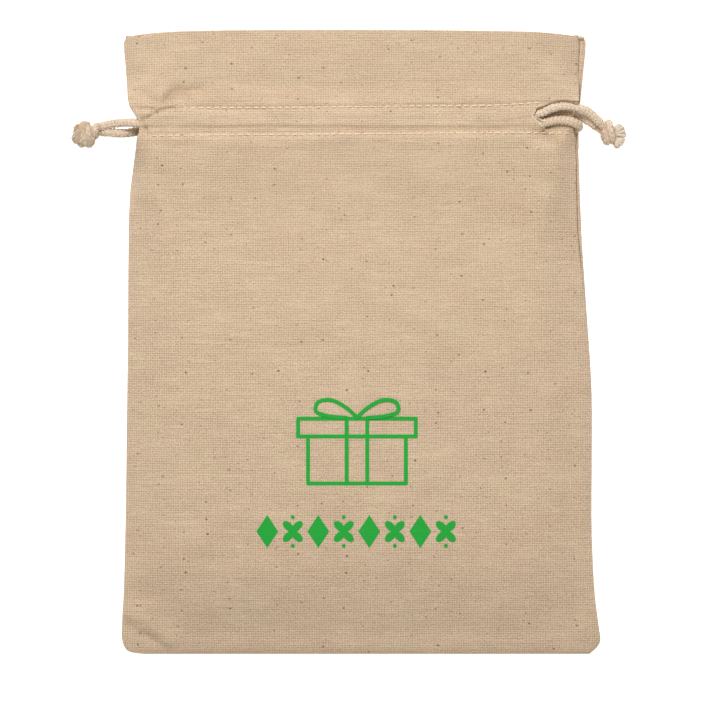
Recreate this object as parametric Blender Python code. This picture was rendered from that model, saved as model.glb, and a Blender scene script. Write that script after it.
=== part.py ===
"""Drawstring gift sack of natural cotton, lying flat on its back panel.

Two plies are sewn down both sides and along the bottom. The top of each ply is turned down inside
as a facing, and two rows of stitching through ply and facing make a tunnel across the front and
another across the back. Two cord loops run round both tunnels, one leaving at the left end and one
at the right, and each is closed by a knot.

Metres, +Z up. X runs across the sack, Y from the bottom seam to the open top, Z up through the
layers. The origin is below the middle of the sack, on the surface that it lies on.
"""

import math

import bmesh
import bpy
from mathutils import Vector

# ---------------------------------------------------------------- driving sizes, in millimetres
PLY = 0.4  # thickness of one ply of cloth
HALF_HEIGHT = 100.6  # half of the length from the bottom seam to the top edge
TUNNEL_LOW = 66.8  # lower row of stitching
TUNNEL_HIGH = 75.3  # upper row of stitching
TUNNEL_MID = 71.05
FACING_LOW = 62.5  # raw lower edge of the turned-down facing
CORD_D = 2.7  # drawcord diameter
Z_TUNNEL = 13.4  # top of the front ply over its tunnel
Z_TOP = 11.2  # top of the front ply at the open edge
Z_BODY = 10.4  # top of the front ply over the body of the sack
Z_EDGE = 2.2  # top of the front ply where it is sewn to the back ply
ROLL = 20.0  # width over which the front ply rises from a side seam
ROLL_BOTTOM = 26.0
TUNNEL_DROP = 3.3  # gap between ply and facing inside a tunnel
SEAM_DROP = 0.9  # gap between ply and facing beside the stitching
SLIT_L, SLIT_R = 57.2, 58.2  # the front tunnel's slit
FACING_L, FACING_R = -62.5, 54.5
Z_FRONT_CORD = 11.35
Z_BACK_CORD = 2.05
CINCH = 26.0  # how far each end can be drawn in
MM = 0.001

# outline stations: (Y, X) down the left edge and down the right edge
LEFT_EDGE = [
    (-100.6, -70.0), (-100.1, -74.0), (-99.0, -75.8), (-97.0, -76.8), (-94.0, -77.2),
    (-80.0, -76.5), (-60.0, -76.0), (-40.0, -75.7), (0.0, -75.2), (30.0, -75.0),
    (49.0, -74.4), (60.0, -72.6), (66.0, -71.4), (69.5, -71.0), (72.5, -72.0),
    (75.5, -73.9), (80.0, -74.9), (90.0, -75.9), (97.0, -76.3), (99.0, -75.4),
]
RIGHT_EDGE = [
    (-100.6, 73.6), (-99.5, 75.0), (-98.0, 76.4), (-96.0, 77.2), (-92.0, 76.7),
    (-80.0, 75.3), (-60.0, 74.4), (-40.0, 74.4), (-15.0, 74.2), (10.0, 72.4),
    (26.0, 70.9), (36.0, 70.0), (49.0, 69.6), (60.0, 69.4), (65.5, 68.9), (68.0, 68.2),
    (72.5, 68.2), (75.0, 69.0), (78.0, 69.7), (90.0, 70.1), (97.0, 70.3), (99.0, 69.6),
]
# the back ply shows past the front one along the upper right
RIGHT_EDGE_BACK = [
    (-100.6, 73.6), (-99.5, 75.0), (-98.0, 76.4), (-96.0, 77.2), (-92.0, 76.7),
    (-80.0, 75.3), (-60.0, 74.4), (-40.0, 74.5), (-15.0, 74.4), (10.0, 72.8),
    (26.0, 71.7), (36.0, 71.1), (49.0, 70.6), (60.0, 70.2), (66.0, 70.0), (72.0, 70.0),
    (78.0, 70.6), (90.0, 71.8), (97.0, 72.3), (99.0, 71.6),
]
# the open top edge: (X, Y)
TOP_EDGE = [(-77.0, 98.6), (-74.5, 99.2), (-65.0, 100.0), (-35.0, 100.6), (15.0, 100.6), (58.0, 100.0), (70.0, 99.2), (73.0, 98.6)]


# ---------------------------------------------------------------- helpers
def smooth(t):
    t = min(1.0, max(0.0, t))
    return t * t * (3.0 - 2.0 * t)


def rise(d, width):
    return math.sin(0.5 * math.pi * min(1.0, max(0.0, d / width)))


def through(stations, s):
    """Smooth curve through (position, value) stations."""
    if s <= stations[0][0]:
        return stations[0][1]
    if s >= stations[-1][0]:
        return stations[-1][1]
    k = max(i for i in range(len(stations) - 1) if stations[i][0] <= s)
    (s0, v0), (s1, v1) = stations[k], stations[k + 1]
    before = stations[k - 1] if k else stations[k]
    after = stations[k + 2] if k + 2 < len(stations) else stations[k + 1]
    m0 = (v1 - before[1]) / (s1 - before[0])
    m1 = (after[1] - v0) / (after[0] - s0)
    h = s1 - s0
    t = (s - s0) / h
    return (
        (2 * t**3 - 3 * t * t + 1) * v0
        + (t**3 - 2 * t * t + t) * h * m0
        + (-2 * t**3 + 3 * t * t) * v1
        + (t**3 - t * t) * h * m1
    )


def left_edge(y):
    return through(LEFT_EDGE, y)


def right_edge(y):
    return through(RIGHT_EDGE, y)


def right_edge_back(y):
    return through(RIGHT_EDGE_BACK, y)


def top_edge(x):
    return through(TOP_EDGE, x)


def near_tunnel(y, flat, fade):
    """1 within flat of the tunnel's middle, falling to 0 over fade."""
    return 1.0 - smooth((abs(y - TUNNEL_MID) - flat) / fade)


def crown(y):
    """Height of the front ply along the middle of the sack."""
    if y >= TUNNEL_MID:
        return Z_TUNNEL + (Z_TOP - Z_TUNNEL) * smooth((y - 76.0) / 24.0)
    return Z_BODY + (Z_TUNNEL - Z_BODY) * smooth((y - 34.0) / 31.0)


def front_height(x, y):
    """Top of the front ply."""
    from_left, from_right = x - left_edge(y), right_edge(y) - x
    top = crown(y)
    z = (
        Z_EDGE
        + (top - Z_EDGE)
        * rise(from_left, ROLL)
        * rise(from_right, ROLL)
        * rise(y + HALF_HEIGHT, ROLL_BOTTOM)
    )
    if x <= 0.5 * (SLIT_L + SLIT_R):
        return z + (Z_TUNNEL - z) * near_tunnel(y, 4.9, 9.0)
    margin = 7.7 - 1.4 * smooth((x - SLIT_R) / 8.0) - 0.8 * smooth((x - 64.8) / 3.0)
    return z + (margin - z) * near_tunnel(y, 4.4, 5.5)


def material(name, colour, roughness):
    m = bpy.data.materials.new(name)
    m.use_nodes = True
    p = m.node_tree.nodes["Principled BSDF"]
    p.inputs["Base Color"].default_value = (*colour, 1.0)
    p.inputs["Roughness"].default_value = roughness
    p.inputs["Metallic"].default_value = 0.0
    return m


def add(name, mesh_or_curve, mat, parent=None):
    ob = bpy.data.objects.new(name, mesh_or_curve)
    bpy.context.scene.collection.objects.link(ob)
    ob.data.materials.append(mat)
    if parent is not None:
        ob.parent = parent
        ob.matrix_parent_inverse = parent.matrix_world.inverted()
    return ob


def sheet(name, rows, thickness, mat, holes=(), parent=None):
    """Closed sheet of cloth under a grid of points in millimetres. holes lists (row, column) cells left out."""
    bm = bmesh.new()
    top = [[bm.verts.new((x * MM, y * MM, z * MM)) for x, y, z in row] for row in rows]
    low = [
        [bm.verts.new((x * MM, y * MM, (z - thickness) * MM)) for x, y, z in row]
        for row in rows
    ]
    gone = set(holes)
    n, m = len(rows), len(rows[0])
    kept = {(i, j) for i in range(n - 1) for j in range(m - 1)} - gone
    for i, j in sorted(kept):
        bm.faces.new((top[i][j], top[i][j + 1], top[i + 1][j + 1], top[i + 1][j]))
        bm.faces.new((low[i][j], low[i + 1][j], low[i + 1][j + 1], low[i][j + 1]))
        for (di, dj), (a, b) in (
            ((-1, 0), ((i, j), (i, j + 1))),
            ((0, 1), ((i, j + 1), (i + 1, j + 1))),
            ((1, 0), ((i + 1, j + 1), (i + 1, j))),
            ((0, -1), ((i + 1, j), (i, j))),
        ):
            if (i + di, j + dj) not in kept:
                bm.faces.new(
                    (top[a[0]][a[1]], low[a[0]][a[1]], low[b[0]][b[1]], top[b[0]][b[1]])
                )
    for v in [v for v in bm.verts if not v.link_faces]:
        bm.verts.remove(v)
    bmesh.ops.triangulate(bm, faces=bm.faces)
    bmesh.ops.recalc_face_normals(bm, faces=bm.faces)
    me = bpy.data.meshes.new(name)
    bm.to_mesh(me)
    bm.free()
    me.shade_smooth()
    me.set_sharp_from_angle(angle=math.radians(50))
    return add(name, me, mat, parent)


def spread(a, b, n):
    return [a + (b - a) * i / n for i in range(n + 1)]


def route(points, step):
    """Evenly spaced points on a smooth curve through the route's own points."""
    pts = [Vector(p) for p in points]
    fine = []
    for k in range(len(pts) - 1):
        p0 = pts[k - 1] if k else pts[k] * 2 - pts[k + 1]
        p1, p2 = pts[k], pts[k + 1]
        p3 = pts[k + 2] if k + 2 < len(pts) else pts[k + 1] * 2 - pts[k]
        t0 = 0.0
        t1 = t0 + max(1e-6, (p1 - p0).length) ** 0.5
        t2 = t1 + max(1e-6, (p2 - p1).length) ** 0.5
        t3 = t2 + max(1e-6, (p3 - p2).length) ** 0.5
        for i in range(24):
            t = t1 + (t2 - t1) * i / 24
            a1 = p0 * ((t1 - t) / (t1 - t0)) + p1 * ((t - t0) / (t1 - t0))
            a2 = p1 * ((t2 - t) / (t2 - t1)) + p2 * ((t - t1) / (t2 - t1))
            a3 = p2 * ((t3 - t) / (t3 - t2)) + p3 * ((t - t2) / (t3 - t2))
            b1 = a1 * ((t2 - t) / (t2 - t0)) + a2 * ((t - t0) / (t2 - t0))
            b2 = a2 * ((t3 - t) / (t3 - t1)) + a3 * ((t - t1) / (t3 - t1))
            fine.append(b1 * ((t2 - t) / (t2 - t1)) + b2 * ((t - t1) / (t2 - t1)))
    fine.append(pts[-1])
    lengths = [0.0]
    for a, b in zip(fine, fine[1:]):
        lengths.append(lengths[-1] + (b - a).length)
    count = max(2, round(lengths[-1] / step))
    out, k = [], 0
    for i in range(count + 1):
        want = lengths[-1] * i / count
        while k < len(lengths) - 2 and lengths[k + 1] < want:
            k += 1
        span = lengths[k + 1] - lengths[k]
        out.append(fine[k].lerp(fine[k + 1], (want - lengths[k]) / span if span else 0.0))
    return out


def cord(name, points, mat, parent, diameter=CORD_D, step=6.5):
    """Plain round cord along a smooth route given in millimetres."""
    cu = bpy.data.curves.new(name, "CURVE")
    cu.dimensions = "3D"
    cu.bevel_depth = 0.5 * diameter * MM
    cu.bevel_resolution = 2
    cu.use_fill_caps = True
    pts = route(points, step)
    sp = cu.splines.new("POLY")
    sp.points.add(len(pts) - 1)
    for p, v in zip(sp.points, pts):
        p.co = (v.x * MM, v.y * MM, v.z * MM, 1.0)
    return add(name, cu, mat, parent)


def lump(name, centre, radii, mat, parent, turn=0.0, segments=14, rings=8):
    """Rounded knot or tuft, turned about the vertical by turn degrees."""
    bm = bmesh.new()
    bmesh.ops.create_uvsphere(bm, u_segments=segments, v_segments=rings, radius=1.0)
    c, s = math.cos(math.radians(turn)), math.sin(math.radians(turn))
    for v in bm.verts:
        x, y, z = v.co.x * radii[0], v.co.y * radii[1], v.co.z * radii[2]
        v.co = (
            (centre[0] + c * x - s * y) * MM,
            (centre[1] + s * x + c * y) * MM,
            (centre[2] + z) * MM,
        )
    me = bpy.data.meshes.new(name)
    bm.to_mesh(me)
    bm.free()
    me.shade_smooth()
    return add(name, me, mat, parent)


def pivot(name, place):
    e = bpy.data.objects.new(name, None)
    e.empty_display_size = 0.01
    e.location = [c * MM for c in place]
    bpy.context.scene.collection.objects.link(e)
    bpy.context.view_layer.update()
    return e


# ---------------------------------------------------------------- the sack
def build():
    for ob in list(bpy.data.objects):
        bpy.data.objects.remove(ob, do_unlink=True)

    cloth = material("natural_cotton", (0.66, 0.50, 0.34), 0.9)
    inner = material("cotton_facing", (0.64, 0.48, 0.33), 0.9)
    thread = material("off_white_thread", (0.85, 0.76, 0.63), 0.8)
    rope = material("cotton_cord", (0.72, 0.57, 0.41), 0.9)

    # moving ends: both ends of the header are drawn in along X by the cord bights
    left_end = pivot("left_end_axis", (-71.0, TUNNEL_MID, 6.7))
    right_end = pivot("right_end_axis", (69.0, TUNNEL_MID, 6.7))
    left_cord = pivot("left_cord_axis", (-72.5, 69.3, 6.7))
    right_cord = pivot("right_cord_axis", (72.0, 70.5, 6.7))
    left_tail = pivot("left_tail_axis", (-72.5, 69.3, 6.7))
    right_tail = pivot("right_tail_axis", (72.0, 71.5, 6.7))

    # front ply: one heightfield sheet with a slit where the front tunnel opens
    ys = (
        [-HALF_HEIGHT, -99.5, -97.5, -94.0, -89.0, -83.0, -76.0, -66.0]
        + spread(-50.0, 34.0, 5)
        + [44.0, 52.0, 58.0, 62.5, 66.2, 69.0, 71.0, 73.0, 75.9, 79.5, 84.0, 90.0]
    )
    left_steps = [0.0, 0.012, 0.035, 0.07, 0.12, 0.18, 0.26, 0.45, 0.72, 1.0]
    mid_steps = [0.3, 0.6, 0.8, 0.9]
    right_steps = [0.2, 0.45, 0.7, 0.9, 1.0]
    rows = []
    for k, y in enumerate(ys + [96.0, None]):
        row_y = 99.5 if y is None else y
        lx, rx = left_edge(row_y), right_edge(row_y)
        xs = [lx * (1.0 - f) for f in left_steps]
        xs += [SLIT_L * f for f in mid_steps] + [SLIT_L, SLIT_R]
        xs += [SLIT_R + (rx - SLIT_R) * f for f in right_steps]
        row = []
        for x in xs:
            yy = top_edge(x) if y is None else y
            row.append((x, yy, front_height(x, row_y)))
        rows.append(row)
    slit_column = len(left_steps) + len(mid_steps)
    slit = [
        (i, slit_column)
        for i in range(len(ys) - 1)
        if ys[i] >= 66.0 and ys[i + 1] <= 76.0
    ]
    sheet("front_panel", rows, PLY, cloth, holes=slit)

    # back ply: flat, with the same outline and a little wider along the upper right
    rows = []
    for y in [-HALF_HEIGHT, -99.5, -97.5, -94.0, -80.0, -40.0, 0.0, 49.0, 60.0, 66.0, 70.0, 75.5, 82.0, 96.0, None]:
        row_y = 99.5 if y is None else y
        lx, rx = left_edge(row_y), right_edge_back(row_y)
        rows.append([(x, top_edge(x) if y is None else y, PLY) for x in (lx, 0.6 * lx, 0.0, 0.6 * rx, rx)])
    sheet("back_panel", rows, PLY, cloth)

    # facings: close to the ply beside the stitching, and a cord's width away from it in the tunnel
    def drop(y):
        return TUNNEL_DROP if 67.0 < y < 75.2 else SEAM_DROP

    fy = [FACING_LOW, 66.3, 67.3, 74.9, 75.9, 82.0, 90.0, 97.0, 99.6]
    rows = []
    for y in fy:
        row = []
        for x in spread(FACING_L, -44.0, 4)[:-1] + spread(-44.0, 38.0, 4) + [46.0, 51.0, FACING_R]:
            row.append((x, y, front_height(x, y) - PLY - drop(y)))
        rows.append(row)
    sheet("front_facing", rows, PLY, inner)
    rows = []
    for y in fy:
        rows.append([(x, y, PLY + drop(y) + PLY) for x in (FACING_L, 0.0, 66.0)])
    sheet("back_facing", rows, PLY, inner)

    # rows of lockstitch, each drawn as one thread band between ply and facing
    for name, y in (("front_lower_stitching", TUNNEL_LOW), ("front_upper_stitching", TUNNEL_HIGH)):
        low_y, high_y = (y - 1.1, y - 0.5) if y < TUNNEL_MID else (y + 0.8, y + 1.4)
        rows = []
        for yy in (low_y, high_y):
            rows.append([(x, yy, front_height(x, yy) - PLY - 0.3) for x in spread(-62.0, 56.5, 8)])
        sheet(name, rows, 0.3, thread)
    for name, y in (("back_lower_stitching", TUNNEL_LOW), ("back_upper_stitching", TUNNEL_HIGH)):
        low_y, high_y = (y - 1.1, y - 0.5) if y < TUNNEL_MID else (y + 0.8, y + 1.4)
        rows = [[(x, yy, 1.0) for x in (-62.0, 65.5)] for yy in (low_y, high_y)]
        sheet(name, rows, 0.3, thread)

    # seams: the sewn allowances between the two plies
    def seam(name, edge, y0, y1, inward, count, parent=None):
        rows = []
        for y in spread(y0, y1, count):
            x = edge(y)
            a, b = x + inward * 0.9, x + inward * 2.1
            rows.append([(min(a, b), y, 1.5), (max(a, b), y, 1.5)])
        sheet(name, rows, 0.8, thread, parent=parent)

    seam("left_side_seam", left_edge, -96.0, 58.5, 1.0, 12)
    seam("right_side_seam", right_edge, -95.0, 60.5, -1.0, 12)
    seam("left_header_seam", left_edge, 82.0, 97.0, 1.0, 3, left_end)
    seam("right_header_seam", right_edge, 80.0, 97.0, -1.0, 3, right_end)
    sheet(
        "bottom_seam",
        [[(x, y, 1.5) for x in spread(-66.0, 70.0, 4)] for y in (-99.6, -98.4)],
        0.8,
        thread,
    )
    # tack at the top of the slit, standing on the margin beside the front tunnel's mouth
    sheet(
        "right_mouth_bartack",
        [[(x, y, front_height(x, y) + 0.9) for x in (58.9, 59.8)] for y in (66.2, 68.6)],
        0.6,
        thread,
        parent=right_end,
    )

    # drawcords: each loop runs along the front tunnel, round the far end and back along the back tunnel
    zf, zb = Z_FRONT_CORD, Z_BACK_CORD
    zm, zr = 0.5 * (zf + zb), 0.5 * (zf - zb)
    bend = []
    for i in range(1, 8):
        a = math.pi * i / 8
        bend.append((65.5 + zr * math.sin(a), 71.35 - 2.65 * min(1.0, i / 5.5), 5.3 + 3.25 * math.cos(a)))
    cord(
        "left_drawcord",
        [(-72.3, 70.2, zf), (-60.0, 69.8, zf), (-30.0, 69.8, zf), (10.0, 69.8, zf), (50.0, 69.8, zf), (54.5, 69.8, 11.2), (57.5, 70.0, 10.35), (60.4, 70.8, 9.1), (63.2, 71.3, 8.65)]
        + bend
        + [(63.0, 68.7, zb), (50.0, 68.9, zb), (10.0, 69.0, zb), (-30.0, 69.0, zb), (-60.0, 68.8, zb), (-72.3, 68.1, zb)],
        rope,
        left_cord,
        step=5.2,
    )
    bend = []
    for i in range(1, 8):
        a = math.pi * i / 8
        bend.append((-63.5 - zr * math.sin(a), 72.7 - 0.2 * i / 8, zm + zr * math.cos(a)))
    cord(
        "right_drawcord",
        [(72.0, 74.7, 8.95), (68.6, 75.5, 10.1), (64.6, 75.75, 11.1), (61.0, 74.95, 11.5), (57.4, 73.4, zf), (52.0, 72.7, zf), (10.0, 72.7, zf), (-40.0, 72.7, zf), (-61.0, 72.7, zf)]
        + bend
        + [(-61.0, 72.5, zb), (-40.0, 72.5, zb), (10.0, 72.5, zb), (57.0, 72.5, zb), (66.0, 72.5, 2.05), (68.6, 72.4, 2.3), (70.6, 71.5, 2.65)],
        rope,
        right_cord,
        step=5.2,
    )

    cord(
        "left_tail_front",
        [(-72.65, 70.22, zf), (-75.0, 70.4, 11.0), (-78.0, 70.3, 9.2), (-80.8, 70.0, 7.0), (-83.4, 69.4, 5.8)],
        rope,
        left_tail,
        step=2.6,
    )
    cord(
        "left_tail_back",
        [(-72.65, 68.08, zb), (-75.0, 67.5, 2.1), (-78.5, 67.4, 2.6), (-81.0, 67.5, 3.0), (-83.1, 67.5, 3.3)],
        rope,
        left_tail,
        step=2.6,
    )
    lump("left_knot", (-88.4, 66.9, 4.35), (4.4, 4.3, 4.35), rope, left_tail)
    lump("left_cord_ends", (-93.6, 67.0, 3.4), (0.9, 1.6, 1.5), rope, left_tail, segments=10, rings=6)

    cord(
        "right_tail_front",
        [(72.42, 74.6, 8.81), (73.6, 74.25, 8.4), (75.1, 73.2, 7.7), (76.7, 71.4, 6.9)],
        rope,
        right_tail,
        step=2.6,
    )
    cord(
        "right_tail_back",
        [(71.02, 71.3, 2.72), (72.8, 70.4, 2.8), (74.4, 69.4, 2.7), (75.6, 68.4, 2.6)],
        rope,
        right_tail,
        step=2.6,
    )
    lump("right_knot", (79.8, 67.6, 3.7), (2.9, 4.2, 3.7), rope, right_tail, turn=-14.0)
    lump("right_upper_tuft", (84.4, 69.4, 3.2), (1.7, 2.1, 2.6), rope, right_tail, segments=10, rings=6)
    lump("right_lower_tuft", (82.9, 62.6, 2.9), (1.7, 1.7, 2.5), rope, right_tail, segments=10, rings=6)


build()
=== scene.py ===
import math

import bpy
import numpy as np
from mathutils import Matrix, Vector


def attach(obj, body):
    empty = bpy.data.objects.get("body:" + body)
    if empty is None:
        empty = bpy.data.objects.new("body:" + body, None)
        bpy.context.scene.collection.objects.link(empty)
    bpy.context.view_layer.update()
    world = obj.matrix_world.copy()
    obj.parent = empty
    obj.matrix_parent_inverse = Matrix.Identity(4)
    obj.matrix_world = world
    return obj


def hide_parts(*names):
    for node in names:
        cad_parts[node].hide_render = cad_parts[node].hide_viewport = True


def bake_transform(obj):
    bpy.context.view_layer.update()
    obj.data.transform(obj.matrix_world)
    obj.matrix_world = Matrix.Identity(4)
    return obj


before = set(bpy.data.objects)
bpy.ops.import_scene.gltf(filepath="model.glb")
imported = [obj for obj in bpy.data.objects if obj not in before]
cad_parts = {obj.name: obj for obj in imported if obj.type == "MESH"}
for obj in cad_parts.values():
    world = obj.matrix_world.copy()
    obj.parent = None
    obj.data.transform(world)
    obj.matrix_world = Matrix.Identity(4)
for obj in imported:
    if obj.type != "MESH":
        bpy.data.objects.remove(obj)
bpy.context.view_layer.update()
MM = 0.001

# ------------------------------------------------------------------ sizes, in millimetres, as the CAD has them
PLY = 0.42
HALF_HEIGHT = 100.6
TUNNEL_MID = 71.05
FACING_LOW = 62.5
CORD_D = 2.7
Z_TUNNEL, Z_TOP, Z_BODY = 13.4, 14.6, 10.4
ROLL, ROLL_BOTTOM = 20.0, 40.0
SLIT = 57.2
STITCH = 2.5

LEFT_EDGE = [
    (-100.6, -70.0), (-100.1, -74.0), (-99.0, -75.8), (-97.0, -76.8), (-94.0, -77.2),
    (-80.0, -76.5), (-60.0, -76.0), (-40.0, -75.7), (0.0, -75.2), (30.0, -75.0),
    (49.0, -74.4), (60.0, -72.6), (66.0, -71.4), (69.5, -71.0), (72.5, -72.0),
    (75.5, -73.9), (80.0, -74.9), (90.0, -75.9), (97.0, -76.3), (99.0, -75.4),
]
RIGHT_EDGE = [
    (-100.6, 73.6), (-99.5, 75.0), (-98.0, 76.4), (-96.0, 77.2), (-92.0, 76.7),
    (-80.0, 75.3), (-60.0, 74.4), (-40.0, 74.4), (-15.0, 74.2), (10.0, 72.4),
    (26.0, 70.9), (36.0, 70.0), (49.0, 69.6), (60.0, 69.4), (65.5, 68.9), (68.0, 68.2),
    (72.5, 68.2), (75.0, 69.0), (78.0, 69.7), (90.0, 70.1), (97.0, 70.3), (99.0, 69.6),
]
RIGHT_EDGE_BACK = [
    (-100.6, 73.6), (-99.5, 75.0), (-98.0, 76.4), (-96.0, 77.2), (-92.0, 76.7),
    (-80.0, 75.3), (-60.0, 74.4), (-40.0, 74.5), (-15.0, 74.4), (10.0, 72.8),
    (26.0, 71.7), (36.0, 71.1), (49.0, 70.6), (60.0, 70.2), (66.0, 70.0), (72.0, 70.0),
    (78.0, 70.6), (90.0, 71.8), (97.0, 72.3), (99.0, 71.6),
]
TOP_EDGE = [(-77.0, 98.6), (-74.5, 99.2), (-65.0, 100.0), (-35.0, 100.6), (15.0, 100.6), (58.0, 100.0), (70.0, 99.2), (73.0, 98.6)]


# ------------------------------------------------------------------ helpers
def clamp01(t):
    return np.clip(t, 0.0, 1.0)


def smooth(t):
    t = clamp01(t)
    return t * t * (3.0 - 2.0 * t)


def rise(d, width):
    return np.sin(0.5 * np.pi * clamp01(d / width))


def bump(t, s):
    return np.exp(-((t / s) ** 2))


def through(stations, s):
    if s <= stations[0][0]:
        return stations[0][1]
    if s >= stations[-1][0]:
        return stations[-1][1]
    k = max(i for i in range(len(stations) - 1) if stations[i][0] <= s)
    (s0, v0), (s1, v1) = stations[k], stations[k + 1]
    before = stations[k - 1] if k else stations[k]
    after = stations[k + 2] if k + 2 < len(stations) else stations[k + 1]
    m0 = (v1 - before[1]) / (s1 - before[0])
    m1 = (after[1] - v0) / (after[0] - s0)
    h = s1 - s0
    t = (s - s0) / h
    return (
        (2 * t**3 - 3 * t * t + 1) * v0
        + (t**3 - 2 * t * t + t) * h * m0
        + (-2 * t**3 + 3 * t * t) * v1
        + (t**3 - t * t) * h * m1
    )


GRID_Y = np.linspace(-101.0, 102.0, 2031)
GRID_X = np.linspace(-80.0, 80.0, 801)
_edges = {
    "left": np.array([through(LEFT_EDGE, y) for y in GRID_Y]),
    "right": np.array([through(RIGHT_EDGE, y) for y in GRID_Y]),
    "back": np.array([through(RIGHT_EDGE_BACK, y) for y in GRID_Y]),
    "top": np.array([through(TOP_EDGE, x) for x in GRID_X]),
}


def left_edge(y):
    return np.interp(y, GRID_Y, _edges["left"])


def right_edge(y):
    return np.interp(y, GRID_Y, _edges["right"])


def right_edge_back(y):
    return np.interp(y, GRID_Y, _edges["back"])


def top_edge(x):
    return np.interp(x, GRID_X, _edges["top"])


def hash2(ix, iy, seed):
    """Repeatable value in 0..1 for integer lattice points."""
    h = (ix.astype(np.int64) * 374761393 + iy.astype(np.int64) * 668265263 + seed * 1442695041) & 0xFFFFFFFF
    h = ((h ^ (h >> 13)) * 1274126177) & 0xFFFFFFFF
    h = h ^ (h >> 16)
    return (h & 0xFFFFFF) / float(0xFFFFFF)


def noise2(x, y, seed=0):
    """Smooth value noise from -1 to 1."""
    ix, iy = np.floor(x), np.floor(y)
    fx, fy = x - ix, y - iy
    fx, fy = fx**3 * (fx * (6 * fx - 15) + 10), fy**3 * (fy * (6 * fy - 15) + 10)
    a, b = hash2(ix, iy, seed), hash2(ix + 1, iy, seed)
    c, d = hash2(ix, iy + 1, seed), hash2(ix + 1, iy + 1, seed)
    return 2.0 * ((a * (1 - fx) + b * fx) * (1 - fy) + (c * (1 - fx) + d * fx) * fy) - 1.0


def along(points, x, y):
    """Signed distance to a polyline (positive to the left of its direction) and the share of its length at the nearest point."""
    best = np.full(np.shape(x), 1e9)
    side = np.zeros(np.shape(x))
    share = np.zeros(np.shape(x))
    spans = [math.dist(a, b) for a, b in zip(points, points[1:])]
    total, done = sum(spans), 0.0
    for (a, b), span in zip(zip(points, points[1:]), spans):
        dx, dy = (b[0] - a[0]) / span, (b[1] - a[1]) / span
        t = np.clip((x - a[0]) * dx + (y - a[1]) * dy, 0.0, span)
        px, py = x - (a[0] + t * dx), y - (a[1] + t * dy)
        d = np.hypot(px, py)
        near = d < best
        best = np.where(near, d, best)
        side = np.where(near, dx * (y - a[1]) - dy * (x - a[0]), side)
        share = np.where(near, (done + t) / total, share)
        done += span
    return best * np.where(side >= 0, 1.0, -1.0), share


def fold(points, x, y, depth, width_in, width_out=None, taper=0.18, open_end=False):
    """Ridge (depth > 0) or valley (depth < 0) along a polyline, with its own width on each side, fading at its ends."""
    d, share = along(points, x, y)
    w = np.where(d >= 0, width_in, width_in if width_out is None else width_out)
    ends = smooth(share / taper) if not open_end else 1.0
    return depth * np.exp(-((d / w) ** 2)) * ends * smooth((1.0 - share) / taper)


def smooth_route(points, step):
    """Evenly spaced points on a centripetal curve through the given points."""
    pts = [np.array(p, float) for p in points]
    fine = []
    for k in range(len(pts) - 1):
        p0 = pts[k - 1] if k else 2 * pts[k] - pts[k + 1]
        p1, p2 = pts[k], pts[k + 1]
        p3 = pts[k + 2] if k + 2 < len(pts) else 2 * pts[k + 1] - pts[k]
        t0 = 0.0
        t1 = t0 + max(1e-6, np.linalg.norm(p1 - p0)) ** 0.5
        t2 = t1 + max(1e-6, np.linalg.norm(p2 - p1)) ** 0.5
        t3 = t2 + max(1e-6, np.linalg.norm(p3 - p2)) ** 0.5
        for i in range(24):
            t = t1 + (t2 - t1) * i / 24
            a1 = p0 * ((t1 - t) / (t1 - t0)) + p1 * ((t - t0) / (t1 - t0))
            a2 = p1 * ((t2 - t) / (t2 - t1)) + p2 * ((t - t1) / (t2 - t1))
            a3 = p2 * ((t3 - t) / (t3 - t2)) + p3 * ((t - t2) / (t3 - t2))
            b1 = a1 * ((t2 - t) / (t2 - t0)) + a2 * ((t - t0) / (t2 - t0))
            b2 = a2 * ((t3 - t) / (t3 - t1)) + a3 * ((t - t1) / (t3 - t1))
            fine.append(b1 * ((t2 - t) / (t2 - t1)) + b2 * ((t - t1) / (t2 - t1)))
    fine.append(pts[-1])
    fine = np.array(fine)
    s = np.r_[0.0, np.cumsum(np.linalg.norm(np.diff(fine, axis=0), axis=1))]
    n = max(2, int(round(s[-1] / step)))
    want = np.linspace(0.0, s[-1], n + 1)
    return np.stack([np.interp(want, s, fine[:, k]) for k in range(3)], axis=1)


def frames_along(path):
    """Tangent and two side directions at each point of a path, turning as little as possible."""
    d = np.gradient(path, axis=0)
    d /= np.linalg.norm(d, axis=1)[:, None]
    n = np.zeros_like(d)
    first = np.array([0.0, 0.0, 1.0]) if abs(d[0, 2]) < 0.9 else np.array([1.0, 0.0, 0.0])
    n[0] = first - d[0] * (first @ d[0])
    n[0] /= np.linalg.norm(n[0])
    for i in range(1, len(d)):
        v = n[i - 1] - d[i] * (n[i - 1] @ d[i])
        n[i] = v / np.linalg.norm(v)
    return d, n, np.cross(d, n)


def new_mesh(name, verts_mm, faces, coords=None, sharp=None):
    """Object from vertices in millimetres. coords are the cloth's own flat coordinates in millimetres, for its weave."""
    me = bpy.data.meshes.new(name)
    me.from_pydata((np.asarray(verts_mm, float) * MM).tolist(), [], [list(map(int, f)) for f in faces])
    me.validate(clean_customdata=False)
    me.shade_smooth()
    if sharp is not None:
        me.set_sharp_from_angle(angle=math.radians(sharp))
    if coords is not None:
        a = me.attributes.new("flat_mm", "FLOAT_VECTOR", "POINT")
        a.data.foreach_set("vector", np.asarray(coords, np.float32).ravel())
    ob = bpy.data.objects.new(name, me)
    bpy.context.scene.collection.objects.link(ob)
    return ob


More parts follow.
